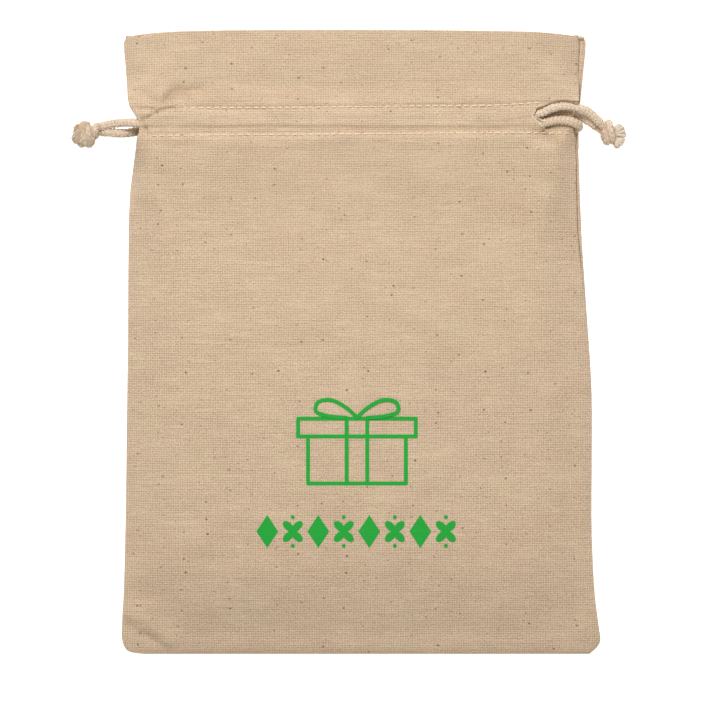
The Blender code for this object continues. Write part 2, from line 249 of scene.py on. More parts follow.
# ------------------------------------------------------------------ node helpers
class Nodes:
    """Short way to write a node tree."""

    def __init__(self, name):
        self.mat = bpy.data.materials.new(name)
        self.mat.use_nodes = True
        self.nt = self.mat.node_tree
        self.p = self.nt.nodes["Principled BSDF"]

    def add(self, kind, **props):
        n = self.nt.nodes.new(kind)
        for k, v in props.items():
            setattr(n, k, v)
        return n

    def put(self, socket, value):
        if hasattr(value, "is_output"):
            self.nt.links.new(value, socket)
        else:
            socket.default_value = value

    def math(self, op, a, b=0.0, c=0.0, clamp=False):
        n = self.add("ShaderNodeMath", operation=op, use_clamp=clamp)
        self.put(n.inputs[0], a)
        self.put(n.inputs[1], b)
        self.put(n.inputs[2], c)
        return n.outputs[0]

    def noise(self, vector, scale, detail=2.0, rough=0.5, dim="3D", distortion=0.0):
        n = self.add("ShaderNodeTexNoise", noise_dimensions=dim)
        self.put(n.inputs["Vector"], vector)
        self.put(n.inputs["Scale"], scale)
        self.put(n.inputs["Detail"], detail)
        self.put(n.inputs["Roughness"], rough)
        self.put(n.inputs["Distortion"], distortion)
        return n.outputs["Fac"]

    def range(self, value, a, b, c, d, smoothly=False):
        n = self.add("ShaderNodeMapRange", interpolation_type="SMOOTHSTEP" if smoothly else "LINEAR")
        self.put(n.inputs["Value"], value)
        for k, v in (("From Min", a), ("From Max", b), ("To Min", c), ("To Max", d)):
            self.put(n.inputs[k], v)
        return n.outputs["Result"]

    def mix(self, factor, a, b, mode="MIX"):
        n = self.add("ShaderNodeMix", data_type="RGBA", blend_type=mode)
        self.put(n.inputs["Factor"], factor)
        self.put(n.inputs[6], a)
        self.put(n.inputs[7], b)
        return n.outputs[2]

    def scaled(self, vector, x, y, z=1.0):
        n = self.add("ShaderNodeVectorMath", operation="MULTIPLY")
        self.put(n.inputs[0], vector)
        self.put(n.inputs[1], (x, y, z))
        return n.outputs[0]

    def bump(self, height, distance, strength=1.0, normal=None):
        n = self.add("ShaderNodeBump")
        self.put(n.inputs["Height"], height)
        self.put(n.inputs["Distance"], distance)
        self.put(n.inputs["Strength"], strength)
        if normal is not None:
            self.put(n.inputs["Normal"], normal)
        return n.outputs["Normal"]


def srgb(r, g, b):
    def lin(v):
        v /= 255.0
        return v / 12.92 if v <= 0.04045 else ((v + 0.055) / 1.055) ** 2.4

    return (lin(r), lin(g), lin(b), 1.0)


# strengths of the painted shade in the gaps between rows and columns of threads, and in the holes where they cross
ROW_LOW, ROW_HIGH = 0.03, 0.50
COL_LOW, COL_HIGH = 0.0, 0.12
DOTS = 2.7
SLUB_V, SLUB_U, EACH = 0.42, 0.10, 0.50


def weave_fields(n, pitch=0.753):
    """Plain weave in the cloth's flat coordinates: thread relief, its gaps, and slow variations. Returns a dict of sockets."""
    at = n.add("ShaderNodeAttribute", attribute_name="flat_mm").outputs["Vector"]
    sep = n.add("ShaderNodeSeparateXYZ")
    n.put(sep.inputs[0], at)
    # threads wander a little, and each one swells and thins along its length
    wander_x = n.noise(n.scaled(at, 0.5, 0.06), 1.0, 2.0)
    wander_y = n.noise(n.scaled(at, 0.05, 0.5), 1.0, 2.0)
    u = n.math("DIVIDE", n.math("ADD", sep.outputs[0], n.math("MULTIPLY", n.math("SUBTRACT", wander_x, 0.5), 0.55)), pitch)
    v = n.math("DIVIDE", n.math("ADD", sep.outputs[1], n.math("MULTIPLY", n.math("SUBTRACT", wander_y, 0.5), 0.55)), pitch)
    iu, iv = n.math("FLOOR", u), n.math("FLOOR", v)
    su = n.math("ABSOLUTE", n.math("SINE", n.math("MULTIPLY", u, math.pi)))
    sv = n.math("ABSOLUTE", n.math("SINE", n.math("MULTIPLY", v, math.pi)))
    over_u = n.math("MULTIPLY_ADD", n.math("COSINE", n.math("MULTIPLY", n.math("ADD", n.math("SUBTRACT", v, 0.5), iu), math.pi)), 0.5, 0.5)
    over_v = n.math("MULTIPLY_ADD", n.math("COSINE", n.math("MULTIPLY", n.math("ADD", n.math("ADD", n.math("SUBTRACT", u, 0.5), iv), 1.0), math.pi)), 0.5, 0.5)
    warp = n.math("MULTIPLY", n.math("POWER", su, 0.6), n.math("MULTIPLY_ADD", over_u, 0.55, 0.45))
    weft = n.math("MULTIPLY", n.math("POWER", sv, 0.6), n.math("MULTIPLY_ADD", over_v, 0.55, 0.45))
    relief = n.math("MAXIMUM", warp, weft)
    # one random value for each weft and each warp thread, changing slowly along it
    cell_v = n.add("ShaderNodeCombineXYZ")
    n.put(cell_v.inputs[0], n.math("MULTIPLY", sep.outputs[0], 0.07))
    n.put(cell_v.inputs[1], n.math("MULTIPLY", iv, 7.31))
    slub_v = n.noise(cell_v.outputs[0], 1.0, 4.0, 0.62)
    cell_u = n.add("ShaderNodeCombineXYZ")
    n.put(cell_u.inputs[0], n.math("MULTIPLY", iu, 5.17))
    n.put(cell_u.inputs[1], n.math("MULTIPLY", sep.outputs[1], 0.06))
    slub_u = n.noise(cell_u.outputs[0], 1.0, 4.0, 0.62)
    # how open the cloth is between this thread and the next, by row and by column
    open_v = n.add("ShaderNodeCombineXYZ")
    n.put(open_v.inputs[0], n.math("MULTIPLY_ADD", sep.outputs[0], 0.09, 40.0))
    n.put(open_v.inputs[1], n.math("MULTIPLY", n.math("ROUND", v), 3.77))
    row_open = n.noise(open_v.outputs[0], 1.0, 3.0, 0.6)
    open_u = n.add("ShaderNodeCombineXYZ")
    n.put(open_u.inputs[0], n.math("MULTIPLY", n.math("ROUND", u), 4.33))
    n.put(open_u.inputs[1], n.math("MULTIPLY_ADD", sep.outputs[1], 0.08, 80.0))
    col_open = n.noise(open_u.outputs[0], 1.0, 3.0, 0.6)
    edge_u = n.math("POWER", n.math("SUBTRACT", 1.0, su), 1.25)
    edge_v = n.math("POWER", n.math("SUBTRACT", 1.0, sv), 1.25)
    each = n.add("ShaderNodeTexWhiteNoise", noise_dimensions="2D")
    pair = n.add("ShaderNodeCombineXYZ")
    n.put(pair.inputs[0], n.math("FLOOR", n.math("MULTIPLY", u, 2.0)))
    n.put(pair.inputs[1], n.math("FLOOR", n.math("MULTIPLY", v, 2.0)))
    n.put(each.inputs["Vector"], pair.outputs[0])
    return {"at": at, "relief": relief, "slub_v": slub_v, "slub_u": slub_u, "row_open": row_open, "col_open": col_open, "edge_u": edge_u, "edge_v": edge_v, "each": each.outputs["Value"]}


def cotton(name, tone, inside=False):
    """Natural cotton sheeting: plain weave, slubs, mottling and seed specks, with painted shade in the weave's gaps and
    along its creases.
    """
    n = Nodes(name)
    f = weave_fields(n)
    at = f["at"]
    base = tone
    light = tuple(min(1.0, c * k) for c, k in zip(tone[:3], (1.22, 1.24, 1.27))) + (1.0,)
    dark = tuple(c * k for c, k in zip(tone[:3], (0.60, 0.565, 0.525))) + (1.0,)
    pink = tuple(c * k for c, k in zip(tone[:3], (0.995, 0.955, 0.945))) + (1.0,)
    straw = tuple(c * k for c, k in zip(tone[:3], (1.0, 1.02, 0.985))) + (1.0,)
    patches = n.noise(n.scaled(at, 0.07, 0.10), 1.0, 3.0, 0.55, distortion=0.4)
    colour = n.mix(n.range(patches, 0.42, 0.60, 0.0, 1.0, True), straw, pink)
    soft = n.noise(n.scaled(at, 0.02, 0.028), 1.0, 2.0)
    colour = n.mix(n.range(soft, 0.35, 0.65, 0.0, 0.5, True), colour, base)
    # the pattern comes and goes over the cloth
    region = n.range(n.noise(n.scaled(at, 0.055, 0.11), 1.0, 2.0, 0.6), 0.33, 0.66, 0.42, 1.40)
    # painted shade in the gaps between threads and in the holes where they cross, stronger in some rows, columns and
    # regions
    gap_shade = n.math("MULTIPLY", f["edge_v"], n.range(f["row_open"], 0.30, 0.70, ROW_LOW, ROW_HIGH))
    gap_shade = n.math("ADD", gap_shade, n.math("MULTIPLY", f["edge_u"], n.range(f["col_open"], 0.30, 0.70, COL_LOW, COL_HIGH)))
    corner = n.math("MULTIPLY", f["edge_u"], f["edge_v"])
    hole_shade = n.math("MULTIPLY", corner, n.math("MULTIPLY", n.range(f["row_open"], 0.32, 0.68, 0.2, 2.4), n.range(f["col_open"], 0.32, 0.68, 0.8, 1.35)))
    gap_shade = n.math("ADD", gap_shade, n.math("MULTIPLY", hole_shade, DOTS))
    gap_shade = n.math("MULTIPLY", gap_shade, region)
    # lighter and darker threads
    streak = n.math("ADD", n.math("MULTIPLY", n.math("SUBTRACT", f["slub_v"], 0.5), SLUB_V), n.math("MULTIPLY", n.math("SUBTRACT", f["slub_u"], 0.5), SLUB_U))
    streak = n.math("ADD", streak, n.math("MULTIPLY", n.math("SUBTRACT", f["each"], 0.5), EACH))
    colour = n.mix(n.range(streak, 0.0, 0.5, 0.0, 0.9), colour, light)
    colour = n.mix(n.range(streak, 0.0, -0.5, 0.0, 0.62), colour, dark)
    colour = n.mix(n.math("MULTIPLY", gap_shade, 1.0, clamp=True), colour, dark)
    fleck = n.noise(n.scaled(at, 3.2, 2.6), 1.0, 1.0, 0.6)
    colour = n.mix(n.range(fleck, 0.50, 0.76, 0.0, 0.72), colour, dark)
    colour = n.mix(n.range(fleck, 0.50, 0.26, 0.0, 0.95), colour, light)
    # painted shade along the creases, and over the header where it lies double
    crease_shade = n.add("ShaderNodeAttribute", attribute_name="crease").outputs["Fac"]
    colour = n.mix(n.math("MULTIPLY", crease_shade, 0.75, clamp=True), colour, dark)
    # seed specks
    for scale, radius, amount, seed in ((0.135, 0.060, 0.88, 3.0), (0.25, 0.075, 0.6, 11.0)):
        vo = n.add("ShaderNodeTexVoronoi", feature="F1", voronoi_dimensions="2D")
        shift = n.add("ShaderNodeVectorMath", operation="ADD")
        n.put(shift.inputs[0], n.scaled(at, 1.0, 1.25))
        n.put(shift.inputs[1], (seed * 13.7, seed * 5.1, 0.0))
        nz = n.add("ShaderNodeTexNoise", noise_dimensions="3D")
        n.put(nz.inputs["Vector"], at)
        n.put(nz.inputs["Scale"], 2.2)
        wv = n.add("ShaderNodeVectorMath", operation="MULTIPLY_ADD")
        n.put(wv.inputs[0], nz.outputs["Color"])
        n.put(wv.inputs[1], (0.45, 0.45, 0.0))
        n.put(wv.inputs[2], shift.outputs[0])
        n.put(vo.inputs["Vector"], wv.outputs[0])
        n.put(vo.inputs["Scale"], scale)
        n.put(vo.inputs["Randomness"], 1.0)
        csep = n.add("ShaderNodeSeparateColor")
        n.put(csep.inputs[0], vo.outputs["Color"])
        size = n.math("MULTIPLY", n.range(csep.outputs[0], 0.30, 1.0, 0.0, 1.0), radius)
        spot = n.range(n.math("SUBTRACT", vo.outputs["Distance"], size), 0.014, -0.014, 0.0, amount, True)
        colour = n.mix(n.math("MULTIPLY", spot, n.range(csep.outputs[1], 0.0, 1.0, 0.5, 1.0)), colour, srgb(112, 78, 54))
    n.put(n.p.inputs["Base Color"], colour)
    rough = n.range(f["relief"], 0.2, 1.0, 0.96, 0.86)
    n.put(n.p.inputs["Roughness"], rough)
    n.p.inputs["Specular IOR Level"].default_value = 0.15
    n.p.inputs["Sheen Weight"].default_value = 0.10
    n.p.inputs["Sheen Roughness"].default_value = 0.5
    slub = n.math("MULTIPLY", n.math("ADD", n.math("SUBTRACT", f["slub_v"], 0.5), n.math("MULTIPLY", n.math("SUBTRACT", f["slub_u"], 0.5), 0.5)), 0.5)
    fibres = n.math("MULTIPLY", n.noise(n.scaled(at, 7.0, 9.0), 1.0, 2.0, 0.6), 0.18)
    height = n.math("ADD", n.math("ADD", f["relief"], slub), fibres)
    n.put(n.p.inputs["Normal"], n.bump(height, 0.00020, 0.5))
    return n.mat


def ink(name, tone):
    """Screen-printed ink that lies in the weave and skips its deepest gaps."""
    n = Nodes(name)
    f = weave_fields(n)
    dark = tuple(c * 0.72 for c in tone[:3]) + (1.0,)
    light = tuple(min(1.0, c * 1.10 + 0.012) for c in tone[:3]) + (1.0,)
    # painted shade in the gaps between threads
    gap = n.math("ADD", n.math("MULTIPLY", f["edge_v"], 0.5), n.math("MULTIPLY", f["edge_u"], 0.35))
    colour = n.mix(n.math("MULTIPLY", gap, 0.75), tone, dark)
    streak = n.math("ADD", n.math("SUBTRACT", f["slub_v"], 0.5), n.math("MULTIPLY", n.math("SUBTRACT", f["slub_u"], 0.5), 0.5))
    colour = n.mix(n.range(streak, 0.02, 0.40, 0.0, 0.6, True), colour, light)
    skip = n.noise(n.scaled(f["at"], 2.3, 2.3), 1.0, 3.0, 0.65)
    colour = n.mix(n.range(skip, 0.64, 0.76, 0.0, 0.45, True), colour, srgb(150, 176, 120))
    n.put(n.p.inputs["Base Color"], colour)
    n.put(n.p.inputs["Roughness"], n.range(f["relief"], 0.2, 1.0, 0.9, 0.68))
    n.p.inputs["Specular IOR Level"].default_value = 0.2
    n.put(n.p.inputs["Normal"], n.bump(f["relief"], 0.00008, 0.7))
    return n.mat


def yarn(name, tone, fibre=9.0, contrast=0.55):
    """Soft spun cotton: fibres along the strand, in object space."""
    n = Nodes(name)
    tc = n.add("ShaderNodeTexCoord").outputs["Object"]
    big = n.noise(n.scaled(tc, 1000.0, 1000.0, 1000.0), 0.45, 2.0)
    mottle = n.noise(n.scaled(tc, 1000.0, 1000.0, 1000.0), 1.5, 2.0, 0.6)
    fine = n.noise(n.scaled(tc, 1000.0, 1000.0, 1000.0), fibre, 3.0, 0.65)
    dark = tuple(c * k for c, k in zip(tone[:3], (0.74, 0.66, 0.58))) + (1.0,)
    light = tuple(min(1.0, c * k) for c, k in zip(tone[:3], (1.10, 1.13, 1.17))) + (1.0,)
    colour = n.mix(n.range(fine, 0.40, 0.66, 0.0, contrast, True), tone, light)
    colour = n.mix(n.range(fine, 0.52, 0.30, 0.0, contrast, True), colour, dark)
    colour = n.mix(n.range(big, 0.42, 0.62, 0.0, 0.22, True), colour, tuple(c * k for c, k in zip(tone[:3], (1.0, 0.94, 0.86))) + (1.0,))
    colour = n.mix(n.range(mottle, 0.50, 0.70, 0.0, 0.42), colour, dark)
    colour = n.mix(n.range(mottle, 0.50, 0.32, 0.0, 0.45), colour, light)
    # painted shade: darker in the grooves of the knit, at joins between wraps, at the roots of frayed plies and over
    # the knots' hidden cores; the same attribute also gives some fibres and stitches a random darker tone
    shade_and_tone_mask = n.add("ShaderNodeAttribute", attribute_name="crevice").outputs["Fac"]
    colour = n.mix(n.math("MULTIPLY", shade_and_tone_mask, 0.55, clamp=True), colour, tuple(c * k for c, k in zip(tone[:3], (0.52, 0.42, 0.33))) + (1.0,))
    n.put(n.p.inputs["Base Color"], colour)
    n.put(n.p.inputs["Roughness"], n.range(fine, 0.3, 0.7, 0.96, 0.84))
    n.p.inputs["Specular IOR Level"].default_value = 0.15
    n.p.inputs["Sheen Weight"].default_value = 0.2
    n.p.inputs["Sheen Roughness"].default_value = 0.4
    n.put(n.p.inputs["Normal"], n.bump(fine, 0.00009, 0.6))
    return n.mat


COTTON = cotton("natural_cotton", srgb(217, 192, 164))
COTTON_IN = cotton("natural_cotton_inside", srgb(216, 190, 158))
INK = ink("green_ink", srgb(38, 172, 62))
THREAD = yarn("sewing_thread", srgb(241, 224, 197), 14.0, 0.3)
ROPE = yarn("braided_cotton", srgb(229, 209, 185), 8.0, 0.5)
# painted light: a lighter copy of the same braided cotton for the right cord, making up for the shade it lies in at the
# mouth
ROPE_PAINTED_LIT = yarn("braided_cotton_painted_lit", srgb(236, 217, 194), 8.0, 0.5)
# painted shade: a slightly darker copy of the same braided cotton for the left knot
ROPE_PAINTED_SHADE = yarn("braided_cotton_knot_painted_shade", srgb(222, 203, 181), 8.0, 0.5)
FRAY = yarn("loose_cotton", srgb(226, 212, 192), 12.0, 0.35)

# ------------------------------------------------------------------ camera
cam_data = bpy.data.cameras.new("camera")
cam_data.type = "PERSP"
cam_data.sensor_width = 36.0
cam_data.lens = 36.0 * (1600.0 - 1.5) / 228.7
cam_data.clip_start = 0.05
cam_data.clip_end = 20.0
camera = bpy.data.objects.new("camera", cam_data)
camera.location = (-2.1 * MM, -4.0 * MM, 1.6)
bpy.context.scene.collection.objects.link(camera)
bpy.context.scene.camera = camera

# ------------------------------------------------------------------ cords
ZF, ZB = 11.35, 2.05
ZM, ZR = 0.5 * (ZF + ZB), 0.5 * (ZF - ZB)


def arc(cx, y0, y1, sign):
    out = []
    for i in range(1, 8):
        a = math.pi * i / 8
        out.append((cx + sign * ZR * math.sin(a), y0 + (y1 - y0) * i / 8, ZM + ZR * math.cos(a)))
    return out


LEFT_ROUTE = (
    [(-83.4, 69.4, 5.4), (-80.8, 70.0, 6.2), (-78.0, 70.3, 7.7), (-75.0, 70.4, 9.9), (-72.3, 70.2, ZF), (-60.0, 69.8, ZF), (-30.0, 69.8, ZF), (10.0, 69.8, ZF), (50.0, 69.8, ZF), (54.5, 69.8, 11.2), (57.5, 70.0, 10.35), (60.4, 70.8, 9.1), (63.2, 71.3, 8.65)]
    + [(65.5 + ZR * math.sin(math.pi * i / 8), 71.35 - 2.65 * min(1.0, i / 5.5), 5.3 + 3.25 * math.cos(math.pi * i / 8)) for i in range(1, 8)]
    + [(63.0, 68.7, ZB), (50.0, 68.9, ZB), (10.0, 69.0, ZB), (-30.0, 69.0, ZB), (-60.0, 68.8, ZB), (-69.0, 68.3, 2.6), (-72.3, 67.8, 4.8), (-75.0, 67.3, 6.0), (-78.5, 67.2, 6.0), (-81.0, 67.5, 5.2), (-83.1, 67.6, 4.4)]
)
RIGHT_ROUTE = (
    [(76.7, 70.75, 6.9), (75.1, 72.25, 7.7), (73.6, 73.6, 8.4), (72.0, 74.5, 8.95), (68.6, 75.45, 10.1), (64.6, 75.75, 11.1), (61.0, 74.95, 11.5), (57.4, 73.4, ZF), (52.0, 72.7, ZF), (10.0, 72.7, ZF), (-40.0, 72.7, ZF), (-61.0, 72.7, ZF)]
    + arc(-63.5, 72.7, 72.5, -1.0)
    + [(-61.0, 72.5, ZB), (-40.0, 72.5, ZB), (10.0, 72.5, ZB), (57.0, 72.5, ZB), (66.0, 72.9, 2.05), (68.6, 73.0, 2.3), (70.6, 72.5, 3.0), (72.2, 71.8, 3.8), (73.8, 70.9, 4.0), (75.8, 69.7, 3.7)]
)


def braid(name, route, radius, wales=7, cell=1.28, relief=0.34, around=72, coarse=None):
    """Round knitted cord: a tube whose surface carries columns of small V stitches. Returns (verts, faces, painted
    shade in its grooves, path).
    """
    path = smooth_route(route, 0.165)
    s = np.r_[0.0, np.cumsum(np.linalg.norm(np.diff(path, axis=0), axis=1))]
    d, n1, n2 = frames_along(path)
    keep = np.ones(len(path), bool)
    if coarse is not None:
        hidden = np.array([coarse(p) for p in path])
        keep = ~hidden | (np.arange(len(path)) % 5 == 0)
        keep[0] = keep[-1] = True
    angles = np.arange(around) * 2 * np.pi / around
    turns = angles * wales / (2 * np.pi)
    verts, crevice = [], []
    for k in np.nonzero(keep)[0]:
        drift = 0.5 * float(noise2(np.array([s[k] * 0.12]), np.array([2.5]), 4)[0])
        t = np.mod(turns + drift, 1.0) - 0.5
        which = np.floor(turns + drift)
        jitter = 0.22 * noise2(s[k] * 0.9 + which * 3.1, which * 1.7, 15)
        v = s[k] / cell + 0.95 * np.abs(t) + jitter + 0.37 * which
        stitch = 0.5 + 0.5 * np.cos(2 * np.pi * v)
        groove = (2 * np.abs(t)) ** 4
        seam = np.exp(-((t / 0.07) ** 2))
        h = 0.30 + 0.70 * stitch**0.8 - 0.55 * groove - 0.22 * seam
        wob = 0.035 * noise2(s[k] * 0.35 + 0 * angles, 3.0 * np.cos(angles), 5) + 0.022 * noise2(s[k] * 1.6 + 2 * np.cos(angles), 5.0 * np.sin(angles), 8)
        r = radius * (1.0 + wob) + relief * (h - 0.75)
        verts.append(path[k] + np.outer(r * np.cos(angles), n1[k]) + np.outer(r * np.sin(angles), n2[k]))
        # painted shade, deepest in the grooves between the stitches
        crevice.append(clamp01((0.62 - h) * 1.9 + 0.30 * noise2(s[k] * 2.2 + 0 * angles, 4 * angles, 19)))
    verts = np.concatenate(verts)
    m = int(keep.sum())
    idx = np.arange(around)
    nxt = (idx + 1) % around
    ks = (np.arange(m - 1) * around)[:, None]
    faces = np.stack([ks + idx, ks + nxt, ks + around + nxt, ks + around + idx], axis=-1).reshape(-1, 4).tolist()
    c0, c1 = len(verts), len(verts) + 1
    verts = np.vstack([verts, path[0], path[-1]])
    faces += [[c0, int(j), int(i)] for i, j in zip(idx, nxt)]
    faces += [[c1, (m - 1) * around + int(i), (m - 1) * around + int(j)] for i, j in zip(idx, nxt)]
    return verts, faces, np.concatenate(crevice + [np.zeros(2)]), path


def flip(ob):
    ob.data.flip_normals()


def set_crevice(ob, values):
    a = ob.data.attributes.new("crevice", "FLOAT", "POINT")
    a.data.foreach_set("value", np.asarray(values, np.float32))


def make_cord(name, route, replaced, exit_mm):
    v, f, crev, path = braid(name, route, 0.5 * CORD_D + 0.03, coarse=lambda p: -66.0 < p[0] < 54.0)
    ob = new_mesh(name, v, f)
    set_crevice(ob, crev)
    # the right cord takes the lighter copy of the cotton, painted light
    ob.data.materials.append(ROPE_PAINTED_LIT if name.startswith("right") else ROPE)
    length = float(np.linalg.norm(np.diff(path, axis=0), axis=1).sum()) * MM
    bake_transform(ob)
    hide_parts(*replaced)
    step = max(1, len(path) // 160)
    points = np.vstack([path[::step], path[-1]]) * MM
    return ob, length, points, [c * MM for c in exit_mm]


left_cord, left_len, left_path, left_exit = make_cord(
    "left_drawcord_loop", LEFT_ROUTE,
    ("left_drawcord", "left_tail_front", "left_tail_back"), (-72.3, 70.2, ZF),
)
right_cord, right_len, right_path, right_exit = make_cord(
    "right_drawcord_loop", RIGHT_ROUTE,
    ("right_drawcord", "right_tail_front", "right_tail_back"), (68.6, 75.5, 10.1),
)

# ------------------------------------------------------------------ knots, cut ends and frayed ends
class Heap:
    """Several closed shapes gathered into one mesh."""

    def __init__(self):
        self.verts, self.faces, self.crevice, self.count, self.wraps = [], [], [], 0, []

    def take(self, verts, faces, crevice):
        self.faces += [[int(i) + self.count for i in f] for f in faces]
        self.verts.append(np.asarray(verts, float))
        self.crevice.append(np.asarray(crevice, float))
        self.count += len(verts)

    def make(self, name, material, coords=None):
        verts, crevice = np.concatenate(self.verts), np.concatenate(self.crevice)
        # where one wrap sinks into another, the join is darkened with painted shade
        for k, (first, count, _, _) in enumerate(self.wraps):
            mine = verts[first : first + count]
            for j, (_, _, other, radius) in enumerate(self.wraps):
                if j == k:
                    continue
                near = np.min(np.linalg.norm(mine[:, None] - other[None], axis=2), axis=1) - radius
                crevice[first : first + count] = np.maximum(crevice[first : first + count], 1.0 * clamp01(1.0 - near / 0.55))
        ob = new_mesh(name, verts, self.faces, coords)
        set_crevice(ob, crevice)
        ob.data.materials.append(material)
        return ob


def tube(points, radii, around=8, crevice=0.0, floor=None):
    """Plain tube with a radius at each point."""
    pts = np.asarray(points, float)
    rr = np.broadcast_to(np.asarray(radii, float), (len(pts),))
    d, n1, n2 = frames_along(pts)
    a = np.arange(around) * 2 * np.pi / around
    verts = (pts[:, None] + rr[:, None, None] * (np.cos(a)[None, :, None] * n1[:, None] + np.sin(a)[None, :, None] * n2[:, None])).reshape(-1, 3)
    idx = np.arange(around)
    nxt = (idx + 1) % around
    faces = []
    for k in range(len(pts) - 1):
        faces += np.stack([k * around + idx, k * around + nxt, (k + 1) * around + nxt, (k + 1) * around + idx], axis=1).tolist()
    faces.append(list(range(around))[::-1])
    faces.append([(len(pts) - 1) * around + i for i in range(around)])
    if floor is not None:
        verts[:, 2] = np.maximum(verts[:, 2], floor)
    return verts, faces, np.full(len(verts), crevice)


def ring(centre, radii, thick, normal, shift, swell=1.0, start=-90.0, sweep=360.0, lowest=1.42):
    """Path of one wrap lying on a rounded knot: the circle cut from it by a plane."""
    c, r = np.array(centre), (np.array(radii) - thick) * swell
    n = np.array(normal, float)
    n /= np.linalg.norm(n)
    u = np.cross(n, (0.0, 0.0, 1.0))
    u /= np.linalg.norm(u)
    v = np.cross(u, n)
    dd = shift / float(np.mean(r))
    pts = []
    for k in range(25):
        a = math.radians(start + sweep * k / 24)
        p = n * dd + math.sqrt(max(0.0, 1 - dd * dd)) * (u * math.cos(a) + v * math.sin(a))
        q = c + r * p
        q[2] = max(q[2], lowest)
        pts.append(tuple(q))
    return pts


def wrap(heap, route, radius=1.36, **kw):
    radius -= 0.06
    v, f, cr, path = braid("", route, radius, relief=0.36, **kw)
    v[:, 2] = np.maximum(v[:, 2], 0.03)
    heap.wraps.append((sum(len(q) for q in heap.verts), len(v), path[::4], radius))
    heap.take(v, f, cr)


def blob(heap, centre, radii, crevice=1.0, rings=14, segments=20):
    # one painted shade value over the whole blob, for cores that show only between other shapes
    verts, faces = [], []
    for i in range(1, rings):
        t = math.pi * i / rings
        for j in range(segments):
            a = 2 * math.pi * j / segments
            verts.append((centre[0] + radii[0] * math.sin(t) * math.cos(a), centre[1] + radii[1] * math.sin(t) * math.sin(a), centre[2] + radii[2] * math.cos(t)))
    for i in range(rings - 2):
        for j in range(segments):
            a, b = i * segments, (i + 1) * segments
            k = (j + 1) % segments
            faces.append([a + j, b + j, b + k, a + k])
    top, low = len(verts), len(verts) + 1
    verts += [(centre[0], centre[1], centre[2] + radii[2]), (centre[0], centre[1], centre[2] - radii[2])]
    last = (rings - 2) * segments
    for j in range(segments):
        k = (j + 1) % segments
        faces.append([top, j, k])
        faces.append([low, last + k, last + j])
    heap.take(verts, faces, np.full(len(verts), crevice))


RNG = np.random.default_rng(7)


def hairs(heap, path, radius, n, reach=(0.25, 0.75), keep=None, thick=0.022):
    """Loose fibres standing off a cord."""
    d, n1, n2 = frames_along(path)
    for _ in range(n):
        k = int(RNG.integers(1, len(path) - 1))
        if keep is not None and not keep(path[k]):
            continue
        a = RNG.uniform(0, 2 * math.pi)
        out = n1[k] * math.cos(a) + n2[k] * math.sin(a)
        side = np.cross(out, d[k]) * RNG.normal(0, 0.7) + d[k] * RNG.normal(0, 0.9)
        long = RNG.uniform(*reach)
        p0 = path[k] + out * (radius - 0.12)
        p1 = p0 + out * long * 0.45 + side * long * 0.25
        p2 = p0 + out * long * 0.75 + side * long * 0.85 + RNG.normal(0, 0.06, 3)
        pts = np.array([(1 - t) ** 2 * p0 + 2 * t * (1 - t) * p1 + t * t * p2 for t in (0, 0.34, 0.67, 1.0)])
        pts[:, 2] = np.maximum(pts[:, 2], 0.06)
        heap.take(*tube(pts, [thick, thick, thick * 0.8, thick * 0.4], 3, 0.0))


def tuft(heap, root, tips, plies, spread_z, radius=0.50):
    """Frayed end: plies that fan out from a root to between the given tips."""
    root = np.array(root, float)
    tips = [np.array(t, float) for t in tips]
    for k in range(plies):
        t = (k + 0.5) / plies * (len(tips) - 1)
        i = min(int(t), len(tips) - 2)
        tip = tips[i] + (tips[i + 1] - tips[i]) * (t - i)
        layer = (k * 7 % 5) / 4.0 - 0.5
        tip = tip + np.array([RNG.normal(0, 0.10), RNG.normal(0, 0.10), layer * spread_z + RNG.normal(0, 0.15)])
        away = tip - root
        foot = root + np.array([0.0, 0.0, layer * 0.9]) + np.cross(away / np.linalg.norm(away), (0, 0, 1.0)) * RNG.normal(0, 0.16)
        lift = np.array([0, 0, 0.35 + 0.3 * layer])
        pts = np.array([(1 - s) ** 2 * foot + 2 * s * (1 - s) * (0.5 * (foot + tip) + lift) + s * s * tip for s in np.linspace(0, 1, 11)])
        rr = radius * np.array([0.62, 0.8, 0.95, 1.03, 1.07, 1.1, 1.1, 1.08, 1.0, 0.86, 0.5])
        v, f, cr = tube(pts, rr, 14, 0.0)
        # spun ply: shallow twist ridges
        m = np.arange(len(v))
        a, s = m % 14, m // 14
        mid = pts[s]
        v = mid + (v - mid) * (1.0 + 0.075 * np.cos(a * 2 * np.pi / 14 * 3 + s * 1.35))[:, None]
        v[:, 2] = np.maximum(v[:, 2], 0.05)
        # painted shade in the twist grooves and near the root of each ply
        cr = clamp01(0.16 - 0.16 * np.cos(a * 2 * np.pi / 14 * 3 + s * 1.35)) + 0.55 * clamp01((2.0 - s) / 2.5)
        heap.take(v, f, cr)
        for _ in range(9):
            q = pts[-2] + RNG.normal(0, 0.16, 3)
            e = q + away / np.linalg.norm(away) * RNG.uniform(0.25, 0.75) + RNG.normal(0, 0.17, 3)
            e[2], q[2] = max(e[2], 0.07), max(q[2], 0.07)
            heap.take(*tube([q, 0.5 * (q + e) + RNG.normal(0, 0.03, 3), e], [0.035, 0.03, 0.012], 3, 0.0))


